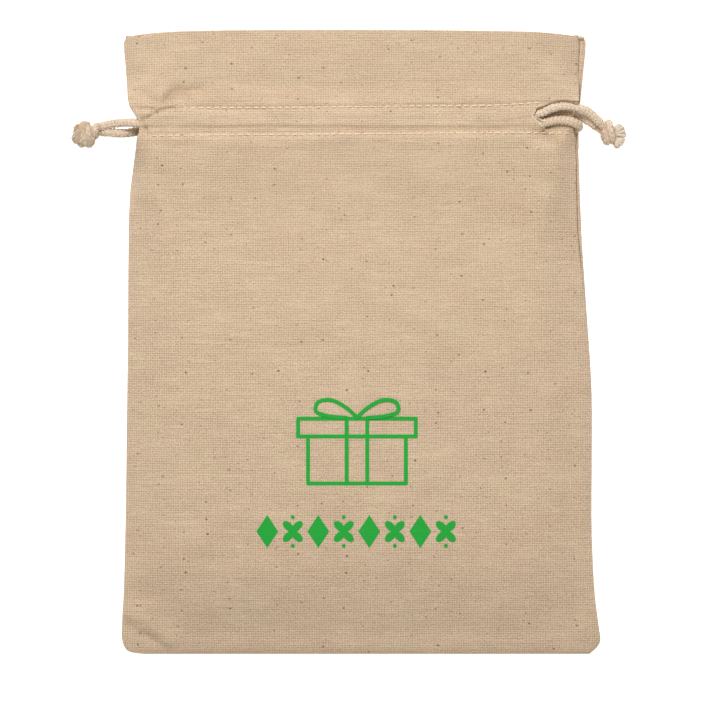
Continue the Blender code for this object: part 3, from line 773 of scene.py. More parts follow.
# left knot: a ball of wraps, a collar round the two strands, and one cut end that looks up
LK, LR = (-89.15, 66.8, 4.3), (4.45, 4.45, 4.3)
heap = Heap()
blob(heap, LK, (3.8, 3.85, 3.7), 0.45)
wrap(heap, ring(LK, LR, 1.3, (0.966, 0.26, 0.05), 1.42, 1.0))
wrap(heap, ring(LK, LR, 1.3, (0.99, -0.10, 0.0), -0.55, 0.96))
wrap(heap, ring(LK, LR, 1.3, (0.72, -0.69, 0.0), -1.35, 0.97))
wrap(heap, ring(LK, LR, 1.3, (0.30, 0.93, 0.15), -2.0, 0.95))
wrap(heap, ring(LK, LR, 1.3, (-0.80, 0.35, 0.1), 1.5, 0.96))
wrap(heap, ring(LK, LR, 1.3, (0.93, -0.37, 0.0), 2.55, 1.08))
collar = [(-85.45 + 0.34 * math.cos(a) - 0.12 * math.sin(a), 67.95 + 1.55 * math.cos(a), max(1.42, 4.75 + 2.5 * math.sin(a))) for a in [2 * math.pi * k / 20 for k in range(21)]]
wrap(heap, collar, radius=1.26)
wrap(heap, [(-82.6, 69.65, 5.6), (-83.6, 69.35, 5.35), (-84.8, 68.9, 5.2), (-86.4, 68.4, 5.0), (-88.0, 67.6, 4.8)], radius=1.34)
wrap(heap, [(-82.4, 67.6, 4.1), (-83.3, 67.65, 4.0), (-84.8, 67.7, 3.9), (-86.4, 67.5, 3.9), (-88.0, 67.2, 4.0)], radius=1.34)
stub = smooth_route([(-89.9, 67.5, 4.6), (-90.45, 68.1, 5.5), (-90.85, 68.6, 6.3), (-91.0, 68.85, 7.15)], 0.2)
v, f, cr, _ = braid("", stub, 1.5)
heap.take(v, f, cr)
hairs(heap, np.array(smooth_route(ring(LK, LR, 0.1, (0.966, 0.26, 0.05), 1.5), 0.2)), 0.1, 90)
hairs(heap, np.array(smooth_route(ring(LK, LR, 0.1, (0.72, -0.69, 0.0), -1.25), 0.2)), 0.1, 90)
hairs(heap, np.array(smooth_route(LEFT_ROUTE[:5], 0.2)), 1.36, 160, (0.15, 0.5))
hairs(heap, np.array(smooth_route(LEFT_ROUTE[-5:], 0.2)), 1.36, 160, (0.15, 0.5))
left_knot = heap.make("left_knot_wraps", ROPE_PAINTED_SHADE)
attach(left_knot, "left_tail")
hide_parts("left_knot", "left_cord_ends")

heap = Heap()
end = np.array(stub[-1])
look = np.array(stub[-1]) - np.array(stub[-3])
look /= np.linalg.norm(look)
side_a = np.cross(look, (0, 0, 1.0))
side_a /= np.linalg.norm(side_a)
side_b = np.cross(side_a, look)
for k in range(46):
    r = 1.12 * math.sqrt((k + 0.5) / 46)
    a = k * 2.39996
    p = end + side_a * r * math.cos(a) + side_b * r * math.sin(a)
    tip = p + look * (0.30 - 0.14 * r * r + RNG.uniform(-0.06, 0.10)) + RNG.normal(0, 0.03, 3)
    heap.take(*tube([p - look * 0.4, p, tip], [0.16, 0.17, 0.11], 7, RNG.uniform(0.15, 0.55)))
left_cut = heap.make("left_knot_cut_end", yarn("cut_cotton", srgb(214, 186, 154), 14.0, 0.5))
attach(left_cut, "left_tail")
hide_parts("left_cord_ends")

# right knot: two slanting wraps round the strands, then two frayed ends pressed apart
RK, RR = (79.45, 67.5, 3.85), (3.1, 4.2, 3.8)
heap = Heap()
blob(heap, RK, (2.15, 3.3, 3.0), 0.5)
# the roots of the two frayed ends, pressed together behind the knot
blob(heap, (82.05, 66.35, 2.9), (1.35, 1.05, 1.5), 0.35)
wrap(heap, ring(RK, RR, 1.3, (0.955, 0.28, 0.10), 0.95, 1.03), radius=1.45)
wrap(heap, ring(RK, RR, 1.3, (0.93, 0.36, -0.12), -1.05, 0.98), radius=1.42)
wrap(heap, ring(RK, (2.8, 3.8, 3.6), 1.3, (0.55, -0.80, 0.2), 0.30, 0.95))
wrap(heap, [(75.9, 71.5, 7.3), (76.75, 70.7, 6.85), (77.5, 69.8, 6.3), (78.4, 68.9, 5.5), (79.3, 68.2, 4.6)], radius=1.34)
wrap(heap, [(75.0, 69.9, 3.0), (75.9, 69.4, 3.0), (77.1, 68.6, 3.1), (78.3, 67.8, 3.3), (79.3, 67.3, 3.7)], radius=1.34)
wrap(heap, [(79.6, 67.0, 5.2), (80.7, 67.2, 4.6), (81.6, 67.5, 4.0), (82.2, 67.7, 3.6)], radius=1.2)
wrap(heap, [(79.4, 65.4, 3.8), (80.5, 65.0, 3.5), (81.3, 64.8, 3.3), (81.9, 64.7, 3.1)], radius=1.2)
hairs(heap, np.array(smooth_route(ring(RK, RR, 0.1, (0.955, 0.28, 0.10), 0.95), 0.2)), 0.1, 90)
hairs(heap, np.array(smooth_route(ring(RK, RR, 0.1, (0.93, 0.36, -0.12), -1.05), 0.2)), 0.1, 70)
hairs(heap, np.array(smooth_route(RIGHT_ROUTE[:4], 0.2)), 1.36, 130, (0.15, 0.5))
hairs(heap, np.array(smooth_route(RIGHT_ROUTE[-3:], 0.2)), 1.36, 60, (0.15, 0.5))
right_knot = heap.make("right_knot_wraps", ROPE)
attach(right_knot, "right_tail")
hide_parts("right_knot")

heap = Heap()
tuft(heap, (81.55, 67.1, 3.7), [(82.5, 70.1, 3.4), (83.7, 70.15, 3.5), (84.7, 69.2, 3.4), (85.2, 67.6, 3.2), (85.35, 66.5, 3.1), (84.9, 66.1, 3.0)], 22, 3.0, 0.55)
right_upper = heap.make("right_upper_fray", FRAY)
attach(right_upper, "right_tail")
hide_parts("right_upper_tuft")
heap = Heap()
tuft(heap, (81.45, 65.3, 3.2), [(82.0, 62.6, 2.9), (83.2, 62.75, 2.9), (84.1, 63.6, 3.0), (84.7, 64.8, 3.0), (84.75, 65.55, 2.9)], 18, 2.8, 0.55)
right_lower = heap.make("right_lower_fray", FRAY)
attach(right_lower, "right_tail")
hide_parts("right_lower_tuft")


# ------------------------------------------------------------------ cloth
def near_tunnel(y, flat, fade):
    return 1.0 - smooth((np.abs(y - TUNNEL_MID) - flat) / fade)


def row_low(x):
    """The lower row of stitching, in Y."""
    return 66.1 + 1.0 * clamp01((x + 66.0) / 120.0)


def row_high(x):
    """The upper row of stitching, in Y."""
    return 75.0 + 0.7 * smooth((x + 40.0) / 80.0) + 0.95 * smooth((x - 38.0) / 22.0)


def slit_x(y):
    """Where the front tunnel ends: a flap that comes to a point."""
    tip = 55.1 + np.where(y < 72.0, 1.02 * (72.0 - y), 0.42 * (y - 72.0))
    return tip


SLIT_LOW, SLIT_HIGH = 68.6, 74.9


def crown(y):
    high = Z_TUNNEL + (Z_TOP - Z_TUNNEL) * smooth((y - 76.0) / 24.0)
    low = Z_BODY + (Z_TUNNEL - Z_BODY) * smooth((y - 34.0) / 31.0)
    return np.where(y >= TUNNEL_MID, high, low)


def front_shape(x, y, right_side):
    """Large shape of the front ply's outer face, in millimetres, without wrinkles."""
    from_left, from_right = x - left_edge(y), right_edge(y) - x
    e = np.minimum(np.minimum(from_left, from_right), y + HALF_HEIGHT)
    edge = 1.0 + 1.1 * smooth((y - 76.5) / 4.0)
    lip = 0.95 * np.sqrt(clamp01(1.0 - (1.0 - clamp01(e / 1.7)) ** 2))
    top = crown(y)
    roll = ROLL - 11.5 * smooth((y - 20.0) / 34.0) * (1.0 - smooth((y - 80.0) / 16.0))
    z = edge + lip + (top - edge - 0.95) * rise(from_left, roll) * rise(from_right, roll) * rise(y + HALF_HEIGHT, ROLL_BOTTOM)
    flat = z + (Z_TUNNEL - z) * near_tunnel(y, 4.9, np.where(y < TUNNEL_MID, 15.0, 10.0))
    under = np.interp(x, [55.0, 57.5, 60.4, 63.2, 65.5], [9.5, 8.8, 7.6, 7.15, 7.1])
    margin = np.where(x < 65.5, under, 5.3 + 1.8 * np.sqrt(np.clip(1.0 - ((x - 65.5) / 3.2) ** 2, 0.0, None)))
    margin = margin + 1.7 * smooth((69.2 - y) / 2.0) * smooth((68.0 - x) / 3.0)
    # at the mouth the ply drops at once; above and below it, it comes down gently
    mouth = smooth((y - 68.0) / 0.8) * smooth((75.9 - y) / 1.2)
    down = mouth + (1.0 - mouth) * np.where(y > TUNNEL_MID, smooth((x - 55.0) / 8.5), smooth((x - 53.5) / 9.0))
    near = near_tunnel(y, 4.3, np.where(y > TUNNEL_MID, 2.7, 4.2))
    low_side = flat + (z + (margin - z) * near - flat) * down
    # above the cord the ply drops only behind it
    open_top = np.interp(x, [55.0, 57.4, 61.0, 64.6, 68.6, 72.0, 76.0], [72.9, 73.4, 74.95, 75.75, 75.45, 74.5, 73.0]) + 0.90
    high_side = flat + (margin - flat) * (1.0 - smooth((y - open_top) / 0.75))
    margin = np.where(y > TUNNEL_MID, high_side, low_side)
    # below the slit the flap comes down to meet the margin
    flap = flat + (low_side - flat) * np.where(x > 53.0, smooth((68.3 - y) / 1.6), 0.0)
    return np.where(right_side, margin, flap)


def front_relief(x, y, right_side):
    """Puckers, creases and the relief of the tunnel on the front ply."""
    lo, hi = row_low(x), row_high(x)
    on_tunnel = ~right_side
    w = np.zeros(np.shape(x))
    # the cords lie in the upper part of the tunnel, and its lower part is slack
    inside = smooth((y - lo) / 0.8) * smooth((hi - y) / 0.8)
    low_slack = 1.0 - smooth((y - 68.55 - 0.25 * noise2(x * 0.06, y * 0 + 3.0, 21)) / 1.25)
    w -= np.where(on_tunnel, inside * low_slack * 0.72, 0.0)
    valley = bump(y - (71.35 + 0.2 * noise2(x * 0.05, y * 0, 22)), 0.62)
    w -= np.where(on_tunnel, inside * valley * 0.10, 0.0)
    high_slack = smooth((y - (74.2 + 0.5 * (hi - 75.0))) / 1.1)
    w -= np.where(on_tunnel, inside * high_slack * 0.34, 0.0)
    # stitching pulls the ply down to its facing, most at each needle hole
    fade_hi = smooth((x + 60.5) / 10.0)
    for row, depth, keep in ((lo, 0.62, smooth((x + 70.5) / 3.0)), (hi, 0.52, fade_hi)):
        d = y - row
        hole = bump((np.mod(x / STITCH + 0.5, 1.0) - 0.5) * STITCH, 0.42) * bump(d, 0.32)
        w -= keep * (depth * bump(d, 0.75) + 0.2 * hole)
        pucker = noise2(x * 0.42, y * 0.05, 31) * bump(d, 2.6) * 0.16 + noise2(x * 0.16, y * 0.04, 33) * bump(d, 5.0) * 0.22
        w += keep * pucker
    # drawn-in left end
    w += fold([(-69.6, 71.2), (-66.6, 72.9), (-63.9, 74.4), (-61.2, 74.9), (-58.8, 75.0)], x, y, -0.85, 0.38, 0.70, 0.12)
    w += fold([(-71.5, 74.5), (-68.4, 74.75), (-66.6, 74.3)], x, y, -0.6, 0.4, 0.5, 0.2)
    w += fold([(-67.0, 75.2), (-66.4, 73.9), (-66.9, 72.7)], x, y, -0.95, 0.55, 0.55, 0.25)
    w += 0.75 * bump(x + 69.0, 2.4) * bump(y - 73.0, 1.25)
    w += fold([(-63.6, 75.6), (-62.2, 77.4), (-60.6, 79.4), (-58.6, 80.2), (-55.0, 79.9), (-49.5, 80.9)], x, y, -1.55, 1.5, 0.95, 0.22)
    w += fold([(-66.2, 76.3), (-64.6, 79.6), (-61.6, 83.5), (-58.0, 86.5)], x, y, 0.55, 2.2, 2.2, 0.25)
    w += fold([(-73.0, 80.5), (-68.0, 78.3), (-64.5, 76.0)], x, y, -0.5, 1.6, 1.2, 0.3)
    w += fold([(-69.9, 71.8), (-69.2, 70.2), (-68.6, 67.6), (-68.9, 65.0)], x, y, -0.85, 0.35, 1.5, 0.2)
    w += 0.35 * bump(x + 70.6, 0.9) * bump(y - 68.6, 2.0)
    w += fold([(-69.8, 68.9), (-62.0, 69.3), (-50.0, 69.5)], x, y, -0.35, 0.8, 0.6, 0.25)
    w += fold([(-68.5, 65.4), (-62.0, 63.9), (-55.0, 63.6), (-48.0, 64.2)], x, y, -0.42, 1.6, 1.5, 0.3)
    w += fold([(-70.0, 63.5), (-64.0, 57.0), (-57.0, 50.5)], x, y, 0.22, 2.6, 2.6, 0.35)
    w += fold([(-72.5, 57.0), (-66.0, 50.0), (-60.0, 42.0)], x, y, -0.14, 2.6, 2.4, 0.35)
    w += fold([(-66.5, 54.5), (-62.5, 53.5), (-58.5, 53.0)], x, y, -0.16, 1.3, 1.2, 0.35)
    # long faint creases above the upper stitching
    w += fold([(-46.5, 75.9), (-40.0, 76.6), (-32.0, 77.4)], x, y, -0.3, 0.8, 0.6, 0.3)
    w += fold([(-44.0, 74.0), (-36.0, 74.4), (-28.0, 74.2)], x, y, -0.25, 0.6, 0.5, 0.3)
    # drawn-in right end
    w += fold([(55.4, 72.2), (49.0, 70.9), (42.0, 70.2), (33.0, 70.0)], x, y, -0.5, 0.7, 0.6, 0.25)
    w += fold([(58.6, 69.0), (53.5, 68.2), (46.0, 68.0)], x, y, 0.35, 0.8, 0.8, 0.25)
    w += fold([(56.4, 75.2), (51.0, 74.6), (44.0, 74.8)], x, y, -0.3, 0.6, 0.6, 0.3)
    w += fold([(57.0, 77.8), (61.5, 79.0), (66.5, 78.9)], x, y, -0.18, 1.1, 1.1, 0.3)
    w += fold([(60.0, 66.5), (64.5, 65.4), (68.0, 65.6)], x, y, -0.35, 1.0, 1.0, 0.3)
    w += fold([(66.0, 62.0), (62.0, 54.0), (60.0, 46.0)], x, y, -0.15, 2.5, 2.5, 0.35)
    # crease across the lower left corner, steep below and gentle above
    w += fold([(-77.4, -87.2), (-71.0, -91.4), (-65.0, -95.4), (-58.4, -98.9)], x, y, 0.95, 5.2, 1.15, 0.16, open_end=True)
    w += fold([(-71.5, -92.4), (-66.8, -95.2), (-62.6, -97.6)], x, y, -0.55, 1.0, 1.8, 0.3)
    w += 0.5 * bump(x + 70.0, 9.0) * bump(y + 74.5, 4.2) - 0.35 * bump(x + 70.5, 8.0) * bump(y + 81.5, 3.2)
    # slow unevenness of cloth that has been folded and laid down
    slow = 0.42 * noise2(x * 0.022 + 4.0, y * 0.028, 41) + 0.22 * noise2(x * 0.045, y * 0.075 + 9.0, 42) + 0.07 * noise2(x * 0.10, y * 0.2, 43)
    calm = smooth((np.minimum(x - left_edge(y), right_edge(y) - x)) / 12.0) * smooth((y + HALF_HEIGHT) / 12.0)
    w += slow * calm * (1.0 - 0.75 * near_tunnel(y, 5.0, 4.0))
    # where the turned-in header is laid double, its raw edge shows as a soft step
    w += 0.10 * smooth((y - 62.2) / 0.9) * calm
    return w


def simulate_wrinkles(n_u, n_v):
    """Cloth simulation of the front ply, held at its seams and its stitching, and let down by its own weight with a little spare cloth. Returns its height changes in millimetres."""
    us = np.linspace(0.0, 1.0, n_u)
    vs = np.linspace(-HALF_HEIGHT, 97.0, n_v)
    u, y = np.meshgrid(us, vs)
    x = left_edge(y) + (right_edge(y) - left_edge(y)) * u
    z = front_shape(x, y, np.zeros(x.shape, bool))
    scale = 0.01
    co = np.stack([x, y, z], axis=-1).reshape(-1, 3) * scale
    idx = np.arange(n_u * n_v).reshape(n_v, n_u)
    faces = np.stack([idx[:-1, :-1], idx[:-1, 1:], idx[1:, 1:], idx[1:, :-1]], axis=-1).reshape(-1, 4)
    me = bpy.data.meshes.new("cloth_rest")
    me.from_pydata(co.tolist(), [], faces.tolist())
    ob = bpy.data.objects.new("cloth_rest", me)
    bpy.context.scene.collection.objects.link(ob)
    e = np.minimum(x - left_edge(y), right_edge(y) - x)
    pin = 1.0 - smooth((np.minimum(e, y + HALF_HEIGHT) - 2.0) / 7.0)
    pin = np.maximum(pin, near_tunnel(y, 6.0, 4.0) * 0.995)
    pin = np.where((pin > 0.6), 1.0, 0.0)
    group = ob.vertex_groups.new(name="held")
    group.add([int(i) for i in idx[pin > 0.5]], 1.0, "REPLACE")
    mod = ob.modifiers.new("cloth", "CLOTH")
    st = mod.settings
    st.quality = 6
    st.mass = 0.15
    st.tension_stiffness = 18.0
    st.compression_stiffness = 18.0
    st.shear_stiffness = 6.0
    st.bending_stiffness = 0.35
    st.vertex_group_mass = "held"
    st.shrink_min = -0.012
    st.shrink_max = -0.012
    mod.collision_settings.use_collision = False
    mod.collision_settings.use_self_collision = False
    mod.point_cache.frame_start = 1
    mod.point_cache.frame_end = 40
    st.effector_weights.gravity = 0.25
    for frame_no in range(1, 31):
        bpy.context.scene.frame_set(frame_no)
    dg = bpy.context.evaluated_depsgraph_get()
    moved = ob.evaluated_get(dg)
    out = np.zeros(len(co) * 3, np.float32)
    moved.data.vertices.foreach_get("co", out)
    out = out.reshape(-1, 3)
    dz = ((out[:, 2] - co[:, 2]) / scale).reshape(n_v, n_u)
    bpy.data.objects.remove(ob, do_unlink=True)
    bpy.context.scene.frame_set(1)
    print("cloth simulation moved the ply by", float(dz.min()), float(dz.max()), "mm, spread", float(dz.std()))
    return us, vs, dz


SIM_U, SIM_V, SIM_DZ = simulate_wrinkles(47, 63)


def sim_height(x, y):
    """The simulated height change, capped and read smoothly between the simulation's points."""
    u = clamp01((x - left_edge(y)) / (right_edge(y) - left_edge(y))) * (len(SIM_U) - 1)
    v = clamp01((y - SIM_V[0]) / (SIM_V[-1] - SIM_V[0])) * (len(SIM_V) - 1)
    iu, iv = np.minimum(u.astype(int), len(SIM_U) - 2), np.minimum(v.astype(int), len(SIM_V) - 2)
    fu, fv = u - iu, v - iv
    total = np.zeros(np.shape(x))
    # cubic B-spline weights, so that no facet of the coarse mesh shows
    def w4(f):
        return ((1 - f) ** 3 / 6, (3 * f**3 - 6 * f**2 + 4) / 6, (-3 * f**3 + 3 * f**2 + 3 * f + 1) / 6, f**3 / 6)
    capped = 1.3 * np.tanh(SIM_DZ / 1.3)
    wu, wv = w4(fu), w4(fv)
    for a in range(4):
        for b in range(4):
            ia = np.clip(iu + a - 1, 0, len(SIM_U) - 1)
            ib = np.clip(iv + b - 1, 0, len(SIM_V) - 1)
            total += wu[a] * wv[b] * capped[ib, ia]
    return total


def front_z(x, y, right_side=None):
    if right_side is None:
        right_side = (x > slit_x(y)) & (np.abs(y - TUNNEL_MID) < 11.0)
    z = front_shape(x, y, right_side) + front_relief(x, y, right_side) + sim_height(x, y)
    # the ply never sinks into the cords in its tunnel
    for cord_y, first in ((69.8 + 0.4 * smooth((-64.0 - x) / 8.0), -73.5), (72.7 + 0.0 * x, -64.6)):
        dy = y - cord_y
        over = 11.35 + np.sqrt(np.clip(1.47**2 - dy**2, 0.0, None)) + 0.44
        on = (np.abs(dy) < 1.47) & (x > first) & ~right_side & (x < slit_x(y) + 0.4)
        z = np.where(on, 0.5 * (z + over + np.sqrt((z - over) ** 2 + 0.01)), z)
    return z


def back_z(x, y):
    """Outer (lower) face of the back ply: on the table, with slight lifts, and drawn up at its stitching."""
    e = np.minimum(np.minimum(x - left_edge(y), right_edge_back(y) - x), y + HALF_HEIGHT)
    lift = 0.16 + 0.14 * noise2(x * 0.05, y * 0.05, 61) + 0.05 * noise2(x * 0.2, y * 0.3, 62)
    w = lift * smooth(e / 8.0)
    for row in (row_low(x), row_high(x)):
        d = y - row
        hole = bump((np.mod(x / STITCH + 0.5, 1.0) - 0.5) * STITCH, 0.42) * bump(d, 0.32)
        w += 0.38 * bump(d, 0.7) + 0.14 * hole + 0.10 * (1 + noise2(x * 0.4, y * 0.05, 63)) * bump(d, 2.4)
    w += fold([(-70.0, 71.0), (-62.0, 74.5), (-54.0, 77.0)], x, y, 0.35, 1.2, 1.0, 0.25)
    w += fold([(-70.0, 68.0), (-62.0, 64.0), (-52.0, 61.0)], x, y, 0.3, 1.4, 1.2, 0.25)
    w += fold([(-77.0, -86.0), (-68.0, -93.0), (-58.0, -98.5)], x, y, 0.3, 2.0, 1.2, 0.2)
    return np.maximum(w, 0.0)


def spaced(a, b, step):
    return list(np.linspace(a, b, max(1, int(round(abs(b - a) / step))) + 1))[:-1]


def row_list():
    """Rows of the cloth from the bottom seam up the outer face, over the top fold and down the facing: (kind, value)."""
    ys = [-HALF_HEIGHT, -100.45, -100.2, -99.85, -99.4] + spaced(-98.9, -86.0, 0.6) + spaced(-86.0, 60.0, 0.95)
    ys += spaced(60.0, 65.0, 0.7) + spaced(65.0, 78.5, 0.36) + spaced(78.5, 96.0, 0.8)
    rows = [("outer", y) for y in ys]
    rows += [("tip", t) for t in np.linspace(0.0, 1.0, 7)]
    rows += [("turn", a) for a in np.linspace(0.0, math.pi, 8)[1:-1]]
    inner = spaced(99.2, 78.0, 1.1) + spaced(78.0, 64.5, 0.5) + [64.5, 63.8, 63.1, FACING_LOW]
    rows += [("facing", y) for y in inner]
    return rows


ROWS = row_list()
COLS_L = np.r_[np.linspace(1.0, 0.80, 38), np.linspace(0.80, 0.0, 70)[1:]]  # share of the way out to the left edge
COLS_R = np.r_[np.linspace(0.0, 0.76, 64)[1:], np.linspace(0.76, 1.0, 46)[1:]]
CENTRE = len(COLS_L) - 1
SLIT_COL = CENTRE + 63 + int(round((57.0 / 69.0 - 0.76) / (0.24 / 45)))  # last column of the front tunnel's flap


def ply_points(front):
    """Outer face of one ply with its facing, as rows x columns x 3, its flat coordinates, and the cells that are left out."""
    edge_r = right_edge if front else right_edge_back
    points, flat, kinds = [], [], []
    run = 0.0
    last = None
    for kind, value in ROWS:
        y_row = {"outer": value, "tip": 96.0 + 3.0 * value if kind == "tip" else 0.0, "turn": 99.0, "facing": min(value, 99.0) if kind == "facing" else 0.0}[kind]
        lx, rx = float(left_edge(y_row)), float(edge_r(y_row))
        x = np.r_[lx * COLS_L, rx * COLS_R]
        side = np.arange(len(x)) > SLIT_COL
        if front and abs(y_row - TUNNEL_MID) < 11.0:
            strength = smooth((5.2 - abs(y_row - 71.8)) / 2.0)
            want = slit_x(y_row)
            at = x[SLIT_COL]
            # the tip of the flap lies at want, and the margin starts just past it
            shift = (want - at) * strength
            x = x + shift * clamp01(1.0 - np.abs(x - at) / 9.0)
        side = side & (abs(y_row - TUNNEL_MID) < 11.0)
        y = np.full(x.shape, y_row)
        tip_y = top_edge(x) - 0.60
        if kind == "tip":
            y = 96.0 + value * (tip_y - 0.5 - 96.0)
        if front:
            z = front_z(x, y, side)
        else:
            z = back_z(x, y)
        if kind == "turn":
            z_tip = front_z(x, tip_y - 0.5, side) if front else back_z(x, tip_y - 0.5)
            y = tip_y - 0.5 + 0.5 * math.sin(value)
            z = z_tip - 0.5 + 0.5 * math.cos(value) if front else z_tip + 0.5 - 0.5 * math.cos(value)
        if kind == "facing":
            lo, hi = row_low(x), row_high(x)
            m = smooth((y_row - lo - 0.1) / 1.3) * smooth((hi - 0.1 - y_row) / 1.3)
            if front:
                shape = front_shape(x, y, side)
                tunnel_z = np.where(side, z - 1.0, shape - 4.05)
                z = z - 0.98 + (tunnel_z - z + 0.98) * m
            else:
                z = z + 0.98 + (4.05 - z - 0.98) * m * smooth((66.6 - x) / 1.5)
            x = np.where(x < 0, x * 0.997, x * 0.997)
            y = np.minimum(y, tip_y - 0.6)
        p = np.stack([x, y, z], axis=1)
        if last is not None:
            run += float(np.linalg.norm(p[CENTRE] - last))
        last = p[CENTRE]
        points.append(p)
        flat.append(np.stack([x, np.full(x.shape, run - HALF_HEIGHT), np.zeros(x.shape)], axis=1))
        kinds.append(kind)
    points, flat = np.array(points), np.array(flat)
    # the edges are turned in: each side gets three more columns that curl under
    n = len(points)
    kinds = np.array(kinds)
    curl = np.where(kinds == "facing", 0.12, 1.0)[:, None]
    s = 1.0 if front else -1.0

    def edge_columns(edge, sign, inward, drops):
        cols, f = [], []
        for dx, dz in zip(inward, drops):
            q = edge.copy()
            q[:, 0] += sign * dx * curl[:, 0]
            q[:, 2] -= s * dz * curl[:, 0]
            cols.append(q)
        return cols

    left = edge_columns(points[:, 0], 1.0, (-0.06, 0.10, 1.1), (0.22, 0.46, 0.50))
    right = edge_columns(points[:, -1], -1.0, (-0.06, 0.10, 1.1), (0.22, 0.46, 0.50))
    if not front:
        # along the upper right the back ply is rolled up beside the front one
        y = points[:, -1, 1]
        wide = clamp01((right_edge_back(y) - right_edge(y)) / 0.9) * np.where(kinds == "facing", 0.0, 1.0)
        gap = np.maximum(right_edge_back(y) - right_edge(y), 0.0)
        tall = 1.35 * wide
        edge = points[:, -1].copy()
        base = edge.copy()
        base[:, 0] -= 0.35 * wide
        points[:, -1] = base
        c1, c2, c3 = edge.copy(), edge.copy(), edge.copy()
        c1[:, 0] += 0.02
        c1[:, 2] += 0.22 + 0.34 * tall
        c2[:, 0] -= 0.10 + 0.28 * wide
        c2[:, 2] += 0.44 + 0.62 * tall
        c3[:, 0] -= 0.9 * (1 - wide) + wide * (gap - 0.12)
        c3[:, 2] += 0.48 + 0.50 * tall
        right = [np.where(kinds[:, None] == "facing", r, c) for r, c in zip(right, (c1, c2, c3))]
    pts = np.stack(left[::-1] + [points[:, k] for k in range(points.shape[1])] + right, axis=1)
    fl = [flat[:, 0] + np.array([d, 0, 0]) for d in (-1.7, -0.7, -0.3)]
    fr = [flat[:, -1] + np.array([d, 0, 0]) for d in (0.3, 0.7, 1.7)]
    flats = np.stack(fl + [flat[:, k] for k in range(flat.shape[1])] + fr, axis=1)
    gone = np.zeros((n - 1, pts.shape[1] - 1), bool)
    if front:
        for i in range(n - 1):
            if kinds[i] == "outer" and kinds[i + 1] == "outer" and ROWS[i][1] > SLIT_LOW and ROWS[i + 1][1] < SLIT_HIGH:
                gone[i, 3 + SLIT_COL] = True
    return pts, flats, gone


def crease_shade_lines(x, y):
    """How much painted shade the cloth gets along its creases, from 0 to 1: along these lines its colour is darkened.
    """
    c = np.zeros(np.shape(x))
    for points, width, amount in (
        ([(-69.2, 71.2), (-66.6, 72.9), (-63.9, 74.5), (-61.4, 74.9), (-59.5, 75.0)], 0.40, 0.62),
        ([(-71.2, 74.9), (-68.4, 75.4), (-66.4, 75.7), (-64.2, 75.3)], 0.42, 0.28),
        ([(-65.3, 75.7), (-64.7, 74.4), (-65.1, 73.3)], 0.55, 0.55),
        ([(-63.8, 75.3), (-62.6, 77.6), (-60.6, 79.8), (-58.0, 80.2), (-53.0, 79.4)], 1.0, 0.50),
        ([(-71.0, 72.6), (-69.6, 71.2), (-68.9, 69.2), (-68.5, 66.6)], 0.50, 0.42),
        ([(-69.4, 71.0), (-62.0, 71.3), (-50.0, 71.3), (-40.0, 71.5)], 0.75, 0.22),
        ([(-67.8, 65.2), (-62.0, 63.9), (-56.0, 63.4)], 1.3, 0.25),
        ([(54.8, 73.6), (57.6, 75.6), (61.0, 77.0), (64.6, 77.5), (68.4, 77.1)], 0.40, 0.45),
        ([(55.2, 71.4), (49.0, 70.2), (42.0, 69.8), (33.0, 69.6)], 0.9, 0.28),
        ([(-77.2, -87.8), (-74.0, -89.2), (-70.1, -90.9), (-64.8, -94.3), (-59.0, -98.1)], 0.50, 0.45),
    ):
        d, share = along(points, x, y)
        c = np.maximum(c, amount * np.exp(-((d / width) ** 2)) * smooth(share / 0.14) * smooth((1.0 - share) / 0.30))
    # the header lies double, so less light comes through it
    return c + 0.17 * smooth((y - 75.5) / 3.5)


